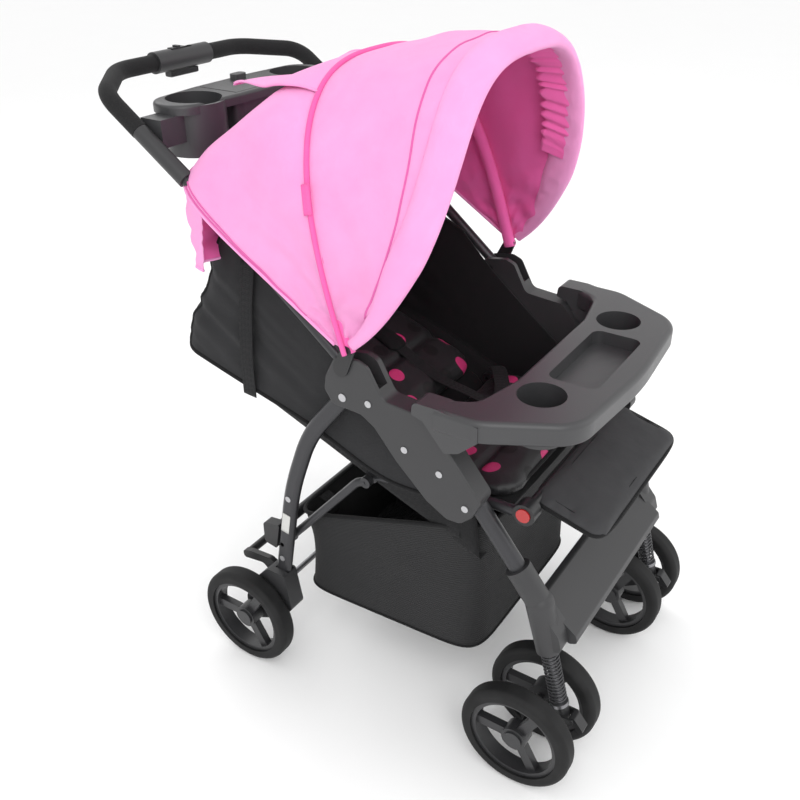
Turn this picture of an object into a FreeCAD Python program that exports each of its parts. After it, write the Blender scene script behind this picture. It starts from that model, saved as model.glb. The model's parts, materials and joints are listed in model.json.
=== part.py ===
"""Baby stroller with a folding frame, canopy, two trays, basket and twin swivel casters.

Frame: X across the stroller (+X is the rider's left), -Y is the front, +Z is up. The origin is on the floor at
the bottom centre of the overall box. Every size is in millimetres and lives in the Sizes sheet.
"""

import FreeCAD, Part

import math
import os

from FreeCAD import Placement, Rotation, Vector

SIZES = [
    # wheels and casters
    ("wheel_radius", 86, "outside of the tyre"),
    ("wheel_width", 32, "tyre width"),
    ("tyre_depth", 18, "radial thickness of the tyre"),
    ("tyre_edge", 9, "rounding of the tyre's shoulders"),
    ("bore_floor", 4, "wall left at the blind end of a wheel's bore"),
    ("rim_band", 7, "radial thickness of the rim's outer ring"),
    ("rim_width", 24, "width of the rim's ring"),
    ("spoke_width", 15, "width of one spoke"),
    ("spoke_depth", 12, "depth of a spoke along the axle"),
    ("hub_radius", 19, "wheel hub"),
    ("hub_cap_radius", 14, "snap-in hub cap"),
    ("axle_radius", 5, "all wheel axles"),
    ("running_gap", 0.1, "radial clearance of a shaft in its bore"),
    ("seat_gap", 0.4, "clearance between two pieces that move past each other"),
    ("soft_gap", 0.3, "clearance of cloth, foam and pads from what carries them"),
    ("socket_gap", 0.05, "radial clearance of a tube in the socket that holds it"),
    ("press_gap", 0.02, "radial clearance of an axle or bolt that doesn't turn"),
    ("rear_wheel_across", 249, "centre line to the rear wheel's middle plane"),
    ("rear_axle_back", 145, "rear axle behind the origin"),
    ("caster_across", 181.5, "centre line to a caster's swivel axis"),
    ("twin_spacing", 48, "swivel axis to each twin wheel's middle plane"),
    ("front_axle_back", -345, "front axle"),
    ("stem_rake", 14.8, "lean of the swivel axis, degrees"),
    ("spring_length", 86, "visible spring"),
    ("spring_radius", 11.5, "spring, to the middle of its wire"),
    ("spring_wire", 3, "spring wire thickness"),
    ("spring_turns", 14, "turns of the spring"),
    ("stem_radius", 7, "swivel stem"),
    ("collar_radius", 14, "spring seat on the stem"),
    ("fork_width", 26, "caster fork between the twin wheels"),
    ("lever_width", 18, "swivel lock lever"),
    ("lever_pin_radius", 2, "pin of the swivel lock lever"),
    # frame
    ("leg_tube_radius", 12.5, "front leg tube"),
    ("tube_wall", 1.5, "wall of every frame tube"),
    ("rear_leg_wide", 26, "oval rear leg, fore and aft"),
    ("rear_leg_thick", 16, "oval rear leg, across"),
    ("side_tube_across", 212, "centre line to the handle and rear leg tubes"),
    ("handle_tube_radius", 8.5, "handle tube"),
    ("foam_radius", 12.5, "foam grip sleeves"),
    ("grip_radius", 16, "centre grip hub"),
    ("grip_length", 114, "centre grip hub"),
    ("sleeve_radius", 12, "plastic sleeves that carry the parent tray"),
    ("slider_slot", 44, "slot in the centre grip for the thumb slider"),
    ("slider_width", 12, "slot in the centre grip for the thumb slider"),
    ("trigger_slot", 60, "slot in the centre grip for the squeeze trigger"),
    ("trigger_width", 14, "slot in the centre grip for the squeeze trigger"),
    ("clamp_thick", 3, "canopy clamp lever"),
    ("plate_inner", 193, "inner face of a hinge plate"),
    ("plate_outer", 224.5, "outer face of a hinge plate"),
    ("plate_wall", 3.5, "outer wall of a hinge plate"),
    ("rivet_radius", 5, "rivet heads"),
    ("rivet_head", 1.2, "height of a rivet head"),
    ("pin_radius", 4, "hinge pins"),
    ("seat_tube_across", 175, "centre line to the seat side tubes"),
    ("seat_tube_radius", 8, "seat side tubes and cross bars"),
    ("link_across", 194.5, "centre line to the folding links"),
    ("link_radius", 6.5, "folding links"),
    # soft goods
    ("pad_half_width", 164, "half width of the seat pad"),
    ("seat_pad_thick", 26, "seat pad"),
    ("back_pad_thick", 26, "backrest pad"),
    ("board_thick", 5, "boards and slings under the pads"),
    ("back_length", 372, "backrest from its hinge to its top edge"),
    ("back_angle", 21.7, "backrest above the horizontal, fully reclined"),
    ("leg_rest_half", 152, "half width of the leg rest"),
    ("leg_rest_length", 98, "leg rest from its hinge to its front edge"),
    ("leg_rest_thick", 20, "leg rest"),
    ("basket_half", 176, "half width of the basket"),
    ("cloth", 2, "basket, canopy and side panel cloth"),
    ("strap_width", 22, "harness straps"),
    ("strap_thick", 1.6, "harness straps"),
    ("strap_across", 62, "centre line to a shoulder strap"),
    ("buckle_width", 46, "harness buckle"),
    ("buckle_length", 34, "harness buckle"),
    ("buckle_thick", 13, "harness buckle"),
    ("buckle_button_radius", 8, "release button of the buckle"),
    ("bow_width", 12, "canopy bow strips"),
    ("bow_thick", 2, "canopy bow strips"),
    ("mid_bow_angle", 72.3, "middle bow above the rear horizontal, open"),
    ("mid_bow_height", 338, "middle bow's crown from the canopy hinge"),
    ("front_bow_angle", 108, "front bow above the rear horizontal, open"),
    ("front_bow_height", 374, "front bow's crown from the canopy hinge"),
    ("rear_hem_angle", 47.5, "rear hem above the rear horizontal"),
    ("rear_hem_height", 372, "rear hem's crown from the canopy hinge"),
    # trays
    ("tray_top", 590, "child tray's top face"),
    ("tray_depth", 32, "child tray's rim depth"),
    ("tray_cup_radius", 32.5, "child tray cup"),
    ("tray_cup_deep", 58, "child tray cup"),
    ("tray_cup_across", 131, "centre line to a child tray cup"),
    ("recess_deep", 20, "recess of the child tray"),
    ("tray_wall", 3, "tray walls"),
    ("parent_top", 890, "parent tray's top face"),
    ("parent_cup_radius", 40, "parent tray cup"),
    ("parent_cup_deep", 72, "parent tray cup"),
    ("parent_cup_across", 114, "centre line to a parent tray cup"),
    ("parent_half", 172, "half width of the parent tray"),
    ("parent_deck", 14, "parent tray's deck"),
    ("bin_half", 56, "half width of the bin inside"),
    ("bin_deep", 62, "bin below the parent tray's top face"),
    ("lid_half", 59, "half width of the bin lid"),
    ("lid_thick", 5, "bin lid"),
    ("lid_pin_radius", 1.5, "pins that the bin lid turns on"),
]

doc = FreeCAD.newDocument("Stroller")
sheet = doc.addObject("Spreadsheet::Sheet", "Sizes")
for row, (alias, value, note) in enumerate(SIZES, start=1):
    sheet.set(f"A{row}", alias)
    sheet.set(f"B{row}", str(value))
    sheet.set(f"C{row}", note)
    sheet.setAlias(f"B{row}", alias)
doc.recompute()

SIDES = (("right", -1), ("left", 1))
X_AXIS = Vector(1, 0, 0)
nodes = []


def size(alias):
    """The value of one cell of the sheet, in millimetres or degrees."""
    return float(sheet.get(alias))


def side_point(x, point):
    """A point of the side view, (y, z), placed x across the stroller."""
    return Vector(x, point[0], point[1])


def node(obj, label):
    """Mark obj as a finished sub-part, written to parts/LABEL.step."""
    obj.Label = label
    nodes.append(obj)
    return obj


def bind(obj, **cells):
    """Set properties of obj, each from an expression on the sheet or from a plain number."""
    for name, value in cells.items():
        if isinstance(value, str):
            obj.setExpression(name, value)
        else:
            setattr(obj, name, value)
    return obj


def primitive(kind, pos=Vector(), rot=Rotation(), **cells):
    """A Part primitive at pos, with its sizes bound to the sheet."""
    obj = bind(doc.addObject(f"Part::{kind}", kind), **cells)
    obj.Placement = Placement(pos, rot)
    return obj


def along(direction):
    """The rotation that carries +Z onto direction."""
    return Rotation(Vector(0, 0, 1), direction)


def rod(start, end, radius):
    """A cylinder from start to end, with its radius bound to an expression."""
    reach = end - start
    obj = primitive("Cylinder", start, along(reach), Radius=radius)
    obj.Height = reach.Length
    return obj


def across(x_from, x_to, point, radius):
    """A cylinder along X at a side-view point."""
    return rod(side_point(min(x_from, x_to), point), side_point(max(x_from, x_to), point), radius)


def fuse(*shapes):
    """One solid from several."""
    obj = doc.addObject("Part::MultiFuse", "Fuse")
    obj.Shapes = list(shapes)
    obj.Refine = True
    return obj


def cut(base, *tools):
    """Base less the tools."""
    tool = tools[0] if len(tools) == 1 else fuse(*tools)
    obj = doc.addObject("Part::Cut", "Cut")
    obj.Base, obj.Tool = base, tool
    return obj


def group(*members):
    """Several separate solids that share one node."""
    obj = doc.addObject("Part::Compound", "Group")
    obj.Links = list(members)
    return obj


def feature(shape):
    """A Part::Feature that holds a shape made from the sheet's values."""
    obj = doc.addObject("Part::Feature", "Feature")
    obj.Shape = shape
    return obj


def rounded(points, radius, closed=True):
    """Straight edges through points, each corner turned by a tangent arc of the one radius or of its own."""
    count = len(points)
    radii = radius if isinstance(radius, (list, tuple)) else [radius] * count
    edges, ends = [], []
    for i, corner in enumerate(points):
        if (not closed and i in (0, count - 1)) or radii[i] == 0:
            ends.append((corner, corner))
            continue
        before = (points[i - 1] - corner).normalize()
        after = (points[(i + 1) % count] - corner).normalize()
        half = before.getAngle(after) / 2
        reach = radii[i] / math.tan(half)
        middle = corner + (before + after).normalize() * (radii[i] / math.sin(half) - radii[i])
        enter, leave = corner + before * reach, corner + after * reach
        edges.append((i, Part.Arc(enter, middle, leave).toShape()))
        ends.append((enter, leave))
    arcs, path = dict(edges), []
    for i in range(count):
        if i in arcs:
            path.append(arcs[i])
        if i < count - 1 or closed:
            path.append(Part.LineSegment(ends[i][1], ends[(i + 1) % count][0]).toShape())
    return Part.Wire(path)


def slab(points, radius, x_from, x_to):
    """A side-view outline, rounded at its corners, extruded across the stroller."""
    wire = rounded([side_point(x_from, p) for p in points], radius)
    return feature(Part.Face(wire).extrude(Vector(x_to - x_from, 0, 0)))


def tube(points, radius, outer, wall):
    """A bent tube of round section along points."""
    path = rounded(points, radius, closed=False)
    start, heading = points[0], points[1] - points[0]
    rings = [Part.Wire(Part.Circle(start, heading, r).toShape()) for r in (outer, outer - wall)]
    return feature(hollow_sweep(path, *rings))


def hollow_sweep(path, outer, inner):
    """The solid between two closed sections carried along path."""
    solids = [path.makePipeShell([section], True, False) for section in (outer, inner)]
    return solids[0].cut(solids[1])


def sketch_on(body, role, wires, start):
    """A sketch of closed wires on one of the body's own origin planes, start along its normal."""
    plane = next(f for f in body.Origin.OriginFeatures if f.Role == role)
    sketch = body.newObject("Sketcher::SketchObject", "Sketch")
    sketch.AttachmentSupport = [(plane, "")]
    sketch.MapMode = "FlatFace"
    sketch.AttachmentOffset = Placement(Vector(0, 0, start), Rotation())
    for wire in wires:
        for edge in wire.Edges:
            curve = edge.Curve
            if isinstance(curve, Part.Circle):
                if edge.isClosed():
                    sketch.addGeometry(Part.Circle(curve.Center, Vector(0, 0, 1), curve.Radius))
                else:
                    first, last = edge.ParameterRange
                    ends = (edge.valueAt(first), edge.valueAt((first + last) / 2), edge.valueAt(last))
                    sketch.addGeometry(Part.Arc(*ends))
            else:
                sketch.addGeometry(Part.LineSegment(edge.Vertexes[0].Point, edge.Vertexes[-1].Point))
    return sketch


def flat(points, radius=0):
    """A rounded closed outline in sketch coordinates."""
    return rounded([Vector(u, v, 0) for u, v in points], radius)


def ring(centre, radius):
    """A circle in sketch coordinates."""
    return Part.Wire(Part.Circle(Vector(centre[0], centre[1], 0), Vector(0, 0, 1), radius).toShape())


def pad(body, role, wires, start, **cells):
    """Add a Pad along the plane's normal."""
    made = body.newObject("PartDesign::Pad", "Pad")
    made.Profile = sketch_on(body, role, wires, start)
    bind(made, **cells)
    doc.recompute()
    return made


def pocket(body, role, wires, start, reversed_cut=False, **cells):
    """Cut a Pocket against the plane's normal, or along it when reversed_cut is set."""
    before = body.Shape.Volume
    made = body.newObject("PartDesign::Pocket", "Pocket")
    made.Profile = sketch_on(body, role, wires, start)
    made.Reversed = reversed_cut
    bind(made, **cells)
    doc.recompute()
    if body.Shape.Volume >= before - 1:
        raise RuntimeError(f"a pocket in {body.Label} cuts nothing")
    return made


def new_body(label):
    """An empty PartDesign body."""
    body = doc.addObject("PartDesign::Body", "Body")
    body.Label = label
    return body


def edges_at(shape, test):
    """Names of the edges whose middle passes test."""
    return [
        f"Edge{i}"
        for i, edge in enumerate(shape.Edges, start=1)
        if test(edge.valueAt(sum(edge.ParameterRange) / 2))
    ]


def body_fillet(body, radius, test):
    """Round the body's edges whose middle passes test."""
    base = body.Tip
    made = body.newObject("PartDesign::Fillet", "Fillet")
    made.Base = (base, edges_at(base.Shape, test))
    made.Radius = radius
    doc.recompute()
    if "Invalid" in made.State:
        raise RuntimeError(f"a fillet of {body.Label} fails")
    return made


# Driving places of the side view, as (y, z)
HANDLE_HINGE = (-50, 598)
REAR_HINGE = (-50, 554)
CANOPY_HINGE = (-65, 632)
SEAT_HINGE = (-223, 430)
BACK_HINGE = (-65, 404)
LINK_HINGE = (86, 238)
LEG_REST_HINGE = (-308, 436)
REAR_AXLE = (size("rear_axle_back"), size("wheel_radius"))
FRONT_AXLE = (size("front_axle_back"), size("wheel_radius"))
BRAKE_HINGE = (118, 150)
SPRING_TOP = (-363, 219)
LEG_TOP = (-210, 500)
LEG_KNEE = (-342, 300)
PLATE_RIVETS = ((-149, 505), (-203, 486), (-243, 446), (-92, 557))


def leg_point(height, side):
    """A point on the front leg's centre line: it leans forward and in, from the plate to the caster's axis."""
    drop = (LEG_TOP[1] - height) / (LEG_TOP[1] - LEG_KNEE[1])
    y = LEG_TOP[0] + drop * (LEG_KNEE[0] - LEG_TOP[0])
    top_across = size("plate_inner") + size("leg_tube_radius") + 0.5
    x = top_across + drop * (size("caster_across") - top_across)
    return Vector(side * x, y, height)


def swivel_point(distance, side, forward=0):
    """A point down the raked swivel axis from the top of the spring, and forward of it square to the axis."""
    rake = math.radians(size("stem_rake"))
    y = SPRING_TOP[0] - distance * math.sin(rake) - forward * math.cos(rake)
    z = SPRING_TOP[1] - distance * math.cos(rake) + forward * math.sin(rake)
    return Vector(side * size("caster_across"), y, z)


# ---------------------------------------------------------------- front frame


def front_legs():
    """The two front leg tubes, from inside the hinge plates down into the caster housings."""
    tubes = []
    for _, side in SIDES:
        top, foot = leg_point(LEG_TOP[1], side), leg_point(LEG_KNEE[1] + 18, side)
        tubes.append(
            cut(rod(top, foot, "Sizes.leg_tube_radius"), rod(top, foot, "Sizes.leg_tube_radius - Sizes.tube_wall"))
        )
    node(group(*tubes), "front_leg_tubes")


PLATE_OUTLINE = [
    (-22, 580),
    (-19, 559),
    (-32, 538),
    (-79, 536),
    (-100, 523),
    (-135, 481),
    (-183, 435),
    (-215, 417),
    (-236, 418),
    (-253, 434),
    (-266, 463),
    (-212, 529),
    (-181, 564),
    (-116, 569),
    (-92, 612),
    (-76, 618),
    (-38, 612),
]
PLATE_CORNERS = [12, 10, 14, 12, 10, 0, 20, 12, 12, 14, 12, 0, 10, 14, 12, 12, 12]


def hinge_plate(name, side):
    """A moulded side plate: two walls over the ends of the handle and rear leg, solid where the front leg enters."""
    inner, outer = size("plate_inner"), size("plate_outer")
    body = new_body(f"hinge_plate_{name}_body")
    first = -outer if side < 0 else inner
    pad(body, "YZ_Plane", [flat(PLATE_OUTLINE, PLATE_CORNERS)], first, Length="Sizes.plate_outer - Sizes.plate_inner")
    outer_skin = lambda p: abs(abs(p.x) - outer) < 0.01
    body_fillet(body, 2.5, outer_skin)
    slot = [(-78, 500), (-78, 578), (-108, 578), (-108, 680), (20, 680), (20, 500)]
    slot_wide = size("rear_leg_thick") + 3
    slot_outer = outer - size("plate_wall")
    start = side * slot_outer if side > 0 else -(slot_outer - slot_wide)
    pocket(body, "YZ_Plane", [flat(slot)], start, Length=slot_wide)
    shank = size("rivet_radius") / 2 + size("running_gap")
    holes = [ring(p, shank) for p in PLATE_RIVETS]
    pocket(body, "YZ_Plane", holes, side * outer, reversed_cut=side < 0, Length=8)
    pins = [ring(p, size("pin_radius") + size("running_gap")) for p in (HANDLE_HINGE, REAR_HINGE)]
    pocket(body, "YZ_Plane", pins, side * outer, reversed_cut=side < 0, Length=outer - inner)
    seat_pin = [ring(SEAT_HINGE, size("pin_radius") + size("running_gap"))]
    pocket(body, "YZ_Plane", seat_pin, side * inner, reversed_cut=side > 0, Length=9)
    socket = tray_tongue(side, size("seat_gap"))
    top, foot = leg_point(LEG_TOP[1] + 0.2, side), leg_point(380, side)
    bore = rod(top, foot, "Sizes.leg_tube_radius + Sizes.socket_gap")
    node(cut(body, bore, socket), f"hinge_plate_{name}")


def tray_tongue(side, clearance):
    """The flat tongue at the end of a child tray arm, or its socket when clearance is above 0."""
    deep, wide, thick = 38, 10, 12
    corner = Vector(209 * side - wide / 2 - clearance, -214 - 30 * bool(clearance), 538 - clearance)
    span = (wide + 2 * clearance, deep + clearance + 30 * bool(clearance), thick + 2 * clearance)
    return feature(Part.makeBox(*span, corner))


def plate_rivets():
    """Rivets of the front frame: blind ones in the plates and the pins that the rear legs turn on."""
    solids = []
    outer, inner = size("plate_outer"), size("plate_inner")
    for _, side in SIDES:
        for spot in PLATE_RIVETS:
            shank = across(side * (outer - 7.5), side * outer, spot, "Sizes.rivet_radius / 2")
            head = across(side * outer, side * (outer + size("rivet_head")), spot, "Sizes.rivet_radius")
            solids.append(fuse(shank, head))
        pin = across(side * inner, side * outer, REAR_HINGE, "Sizes.pin_radius")
        head = across(side * outer, side * (outer + size("rivet_head")), REAR_HINGE, "Sizes.rivet_radius + 1")
        solids.append(fuse(pin, head))
    node(group(*solids), "plate_rivets")


def footrest():
    """One moulding: the two caster housings and the slanted foot bar between them."""
    reach = size("caster_across")
    half = reach - 14
    bar_points = [(-326, 290), (-330, 276), (-385, 234), (-397, 240), (-394, 252), (-338, 294)]
    shapes = [slab(bar_points, [4, 5, 5, 5, 5, 5], -half, half)]
    cuts = []
    for _, side in SIDES:
        knee = side_point(side * reach, LEG_KNEE)
        top = leg_point(352, side)
        base = swivel_point(-4, side)
        shapes.append(rod(knee, top, "Sizes.leg_tube_radius + 6"))
        shapes.append(primitive("Sphere", knee, Radius="Sizes.leg_tube_radius + 8"))
        cup = primitive("Cone", base, along(knee - base), Radius1="18", Radius2="Sizes.leg_tube_radius + 8")
        cup.Height = (knee - base).Length
        shapes.append(cup)
        gusset = [(-330, 318), (-338, 262), (-362, 232), (-386, 236), (-378, 262)]
        x_near, x_far = (reach - 22) * side, (reach + 12) * side
        shapes.append(slab(gusset, [10, 6, 6, 8, 14], min(x_near, x_far), max(x_near, x_far)))
        leg_end, leg_mouth = leg_point(LEG_KNEE[1] + 17.8, side), leg_point(370, side)
        cuts.append(rod(leg_end, leg_mouth, "Sizes.leg_tube_radius + Sizes.socket_gap"))
        cuts.append(
            rod(swivel_point(8, side), swivel_point(-62, side), "Sizes.stem_radius + Sizes.running_gap")
        )
        cuts.append(rod(swivel_point(4, side), swivel_point(-2, side), "Sizes.spring_radius + Sizes.spring_wire"))
    node(cut(fuse(*shapes), *cuts), "footrest")


# ---------------------------------------------------------------- handle


HANDLE_BEND = (190, 793)
HANDLE_CORNER = (345, 903)
GRIP_LINE = (411, 914)
GRIP_TURN = 130


def handle_path(start=None):
    """Corner points of the handle from one hinge, over the grip, to the other."""
    x = size("side_tube_across")
    half = [side_point(-x, HANDLE_HINGE), side_point(-x, HANDLE_BEND), side_point(-x, HANDLE_CORNER)]
    half.append(side_point(-GRIP_TURN, GRIP_LINE))
    return half + [Vector(-p.x, p.y, p.z) for p in reversed(half)]


def on_handle(height, side):
    """A point of the straight stretch between the handle's bend and its corner."""
    share = (height - HANDLE_BEND[1]) / (HANDLE_CORNER[1] - HANDLE_BEND[1])
    y = HANDLE_BEND[0] + share * (HANDLE_CORNER[0] - HANDLE_BEND[0])
    return Vector(side * size("side_tube_across"), y, height)


SLEEVE_HEIGHTS = (806, 861)
CORNER_TURN = (200, 46, 70)


def handle():
    """The bent handle tube, its foam sleeves, and the plastic sleeves that carry the parent tray."""
    bend, corner, turn = CORNER_TURN
    turns = [0, bend, corner, turn, turn, corner, bend, 0]
    bar = tube(handle_path(), turns, size("handle_tube_radius"), size("tube_wall"))
    x = size("side_tube_across")
    bolts = [across(side * (x - 12), side * (x + 12), HANDLE_HINGE, "Sizes.pin_radius") for _, side in SIDES]
    node(cut(bar, *bolts), "handle_tube")
    foams, sleeves = [], []
    grip_end, gap = size("grip_length") / 2, size("soft_gap")
    for _, side in SIDES:
        route = [on_handle(SLEEVE_HEIGHTS[1] + gap, side), side_point(side * x, HANDLE_CORNER)]
        route += [side_point(side * GRIP_TURN, GRIP_LINE), side_point(side * (grip_end + gap), GRIP_LINE)]
        foam_wall = size("foam_radius") - size("handle_tube_radius") - size("socket_gap")
        foams.append(tube(route, [0, corner, turn, 0], size("foam_radius"), foam_wall))
        low, high = (on_handle(h, side) for h in SLEEVE_HEIGHTS)
        sleeves.append(
            cut(rod(low, high, "Sizes.sleeve_radius"), rod(low, high, "Sizes.handle_tube_radius + Sizes.socket_gap"))
        )
    node(group(*foams), "foam_grips")
    node(group(*sleeves), "handle_sleeves")


def grip():
    """The centre grip with its thumb slider above and squeeze trigger below."""
    half, y, z = size("grip_length") / 2, *GRIP_LINE
    hub = across(-half, half, GRIP_LINE, "Sizes.grip_radius")
    bore = across(-half, half, GRIP_LINE, "Sizes.handle_tube_radius + Sizes.socket_gap")
    floor = size("handle_tube_radius") + 1.5
    long, wide = size("slider_slot"), size("slider_width")
    reach, deep = size("trigger_slot"), size("trigger_width")
    top_slot = feature(Part.makeBox(long, wide, 12, Vector(-long / 2, y - wide / 2, z + floor)))
    under = feature(Part.makeBox(reach, deep, 12, Vector(-reach / 2, y - deep / 2, z - floor - 12)))
    node(cut(hub, bore, top_slot, under), "handle_grip")
    gap = size("seat_gap")
    deck = z + floor + gap
    runner = feature(Part.makeBox(28, wide - 2 * gap, 6.5, Vector(-20, y - wide / 2 + gap, deck)))
    ridge = feature(Part.makeBox(6, wide - 2 * gap, 3, Vector(-9, y - wide / 2 + gap, deck + 6)))
    node(fuse(runner, ridge), "grip_slider")
    corner = Vector(-reach / 2 + gap, y - deep / 2 + gap, z - 25)
    bar = feature(Part.makeBox(reach - 2 * gap, deep - 2 * gap, 9, corner))
    rounded_bar = doc.addObject("Part::Fillet", "Fillet")
    rounded_bar.Base = bar
    doc.recompute()
    low = [i for i, e in enumerate(bar.Shape.Edges, start=1) if e.CenterOfMass.z < z - 24.5]
    rounded_bar.Edges = [(i, 2.5, 2.5) for i in low]
    node(rounded_bar, "grip_trigger")


PARENT_FRONT, PARENT_BACK = 236, 318


def parent_tray():
    """The tray on the handle: two cups beside a lidded bin."""
    top, wall = size("parent_top"), size("tray_wall")
    cup_x, cup_r = size("parent_cup_across"), size("parent_cup_radius")
    middle = (PARENT_FRONT + PARENT_BACK) / 2
    body = new_body("parent_tray_body")
    half, deck_thick, bin_deep = size("parent_half"), size("parent_deck"), size("bin_deep")
    bin_half, lid_half = size("bin_half"), size("lid_half")
    deck = [
        (-half, PARENT_FRONT + 6),
        (-bin_half - 4, PARENT_FRONT),
        (bin_half + 4, PARENT_FRONT),
        (half, PARENT_FRONT + 6),
        (half, PARENT_BACK),
        (bin_half + 6, PARENT_BACK + 10),
        (-bin_half - 6, PARENT_BACK + 10),
        (-half, PARENT_BACK),
    ]
    turns = [34, 30, 30, 34, 38, 20, 20, 38]
    pad(body, "XY_Plane", [flat(deck, turns)], top - deck_thick, Length="Sizes.parent_deck")
    body_fillet(body, 5, lambda p: abs(p.z - top) < 0.01)
    for x in (-cup_x, cup_x):
        base = top - size("parent_cup_deep") - wall
        pad(body, "XY_Plane", [ring((x, middle), cup_r + wall + 2)], base, Length="Sizes.parent_cup_deep")
    bin_out = rectangle(bin_half + 6, PARENT_FRONT + 6, PARENT_BACK + 4)
    pad(body, "XY_Plane", [flat(bin_out, 14)], top - bin_deep, Length="Sizes.bin_deep - 6")
    for side in (-1, 1):
        reach = size("side_tube_across") - size("foam_radius") - size("soft_gap")
        inner, outer = 140 * side, reach * side
        ear = [(inner, middle - 19), (outer, middle - 19), (outer, middle + 19), (inner, middle + 19)]
        pad(body, "XY_Plane", [flat(ear, 0)], top - deck_thick - 38, Length=38)
    cups = [ring((x, middle), cup_r) for x in (-cup_x, cup_x)]
    pocket(body, "XY_Plane", cups, top, Length="Sizes.parent_cup_deep")
    hollow = rectangle(bin_half, PARENT_FRONT + 12, PARENT_BACK - 2)
    pocket(body, "XY_Plane", [flat(hollow, 9)], top, Length="Sizes.bin_deep - Sizes.tray_wall")
    lid_seat = rectangle(lid_half + 1, PARENT_FRONT + 8, PARENT_BACK + 2)
    pocket(body, "XY_Plane", [flat(lid_seat, [0, 0, 6, 6])], top, Length="Sizes.lid_thick")
    reach = lid_half + LID_PIN + 0.2
    bore = across(-reach, reach, lid_hinge(), "Sizes.lid_pin_radius + Sizes.running_gap")
    node(cut(body, bore), "parent_tray")


def rectangle(half, front, back):
    """Corners of a rectangle of the plan view, centred across the stroller."""
    return [(-half, front), (half, front), (half, back), (-half, back)]


LID_PIN = 4


def lid_hinge():
    """The line that the bin lid turns on, in the middle of its rounded front edge."""
    gap, half_thick = size("seat_gap"), size("lid_thick") / 2
    return (PARENT_FRONT + 8 + gap + half_thick, size("parent_top") + gap - half_thick)


def parent_lid():
    """The bin's lid, hinged along its front edge, with a finger catch at the back."""
    top, gap = size("parent_top"), size("seat_gap")
    body = new_body("parent_lid_body")
    half = size("lid_half")
    plan = rectangle(half, PARENT_FRONT + 8 + gap, PARENT_BACK + 2 - gap)
    pad(body, "XY_Plane", [flat(plan, [0, 0, 5, 5])], top - size("lid_thick") + gap, Length="Sizes.lid_thick")
    body_fillet(body, size("lid_thick") / 2 - 0.05, lambda p: abs(p.y - plan[0][1]) < 0.01 and abs(p.x) < 1)
    pad(body, "XY_Plane", [flat([(2, 300), (28, 300), (28, 316), (2, 316)], 6)], top, Length=9)
    body_fillet(body, 1.2, lambda p: p.z > top + 8.9)
    pins = across(-half - LID_PIN, half + LID_PIN, lid_hinge(), "Sizes.lid_pin_radius")
    node(fuse(body, pins), "parent_tray_lid")


def canopy_clamps():
    """Levers bolted to the handle's lower ends; each carries the pin that the canopy bows turn on."""
    solids = []
    outer = size("plate_outer")
    thick = size("clamp_thick")
    x_inner, x_outer = outer + size("seat_gap"), outer + size("seat_gap") + thick
    bow_x = bow_start() + 2 * (size("bow_thick") + size("seat_gap"))
    for _, side in SIDES:
        boss = across(side * x_inner, side * x_outer, HANDLE_HINGE, "11")
        eye = across(side * x_inner, side * x_outer, CANOPY_HINGE, "10")
        bar_x = min(side * x_inner, side * x_outer)
        arm = slab([(-61, 594), (-39, 602), (-56, 636), (-74, 628)], 0, bar_x, bar_x + thick)
        bolt_end = size("plate_inner") + 1
        bolt = across(side * bolt_end, side * x_outer, HANDLE_HINGE, "Sizes.pin_radius - Sizes.press_gap")
        pin = across(side * x_outer, side * bow_x, CANOPY_HINGE, "Sizes.pin_radius")
        head = across(side * bow_x, side * (bow_x + 2), CANOPY_HINGE, "Sizes.pin_radius + 4")
        solids.append(fuse(boss, eye, arm, bolt, pin, head))
    node(group(*solids), "canopy_clamps")


# ---------------------------------------------------------------- canopy


def bow_start():
    """Inner face of the middle bow's arms, just outside the canopy clamps."""
    return size("plate_outer") + 2 * size("seat_gap") + size("clamp_thick")


def hoop_points(half, height, angle, steps=18, power=2.7, foot=0.0, ahead=0.0):
    """Points of a rounded hoop at an angle above the rear horizontal, ahead of the plane through the canopy hinge."""
    lean = math.radians(angle)
    out = Vector(0, math.cos(lean), math.sin(lean))
    centre = side_point(0, CANOPY_HINGE) + Vector(0, -math.sin(lean), math.cos(lean)) * ahead
    points = []
    for i in range(steps + 1):
        turn = math.pi * i / steps
        x = -half * math.copysign(abs(math.cos(turn)) ** (2 / power), math.cos(turn))
        rise = foot + (height - foot) * abs(math.sin(turn)) ** (2 / power)
        points.append(centre + Vector(x, 0, 0) + out * rise)
    return points


def hoop_curve(points):
    """A smooth curve through hoop points."""
    curve = Part.BSplineCurve()
    curve.interpolate(points)
    return curve.toShape()


def bow(label, half, height, angle):
    """A flat strip bent to a hoop, with an eye at each end for the clamp's pin."""
    thick, wide = size("bow_thick"), size("bow_width")
    outer = hoop_points(half, height, angle)
    inner = hoop_points(half - thick, height - thick, angle)
    edges = [hoop_curve(outer), Part.LineSegment(outer[-1], inner[-1]).toShape()]
    edges += [hoop_curve(inner), Part.LineSegment(inner[0], outer[0]).toShape()]
    lean = math.radians(angle)
    normal = Vector(0, -math.sin(lean), math.cos(lean))
    strip = feature(Part.Face(Part.Wire(edges)).extrude(normal * wide))
    strip.Placement = Placement(normal * (-wide / 2), Rotation())
    solids, bores = [strip], []
    for _, side in SIDES:
        x_from, x_to = side * (half - thick + 0.1), side * (half - 0.1)
        solids.append(across(x_from, x_to, CANOPY_HINGE, "9"))
        bores.append(across(x_from - side, x_to + side, CANOPY_HINGE, "Sizes.pin_radius + Sizes.running_gap"))
    node(cut(fuse(*solids), *bores), label)


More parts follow.
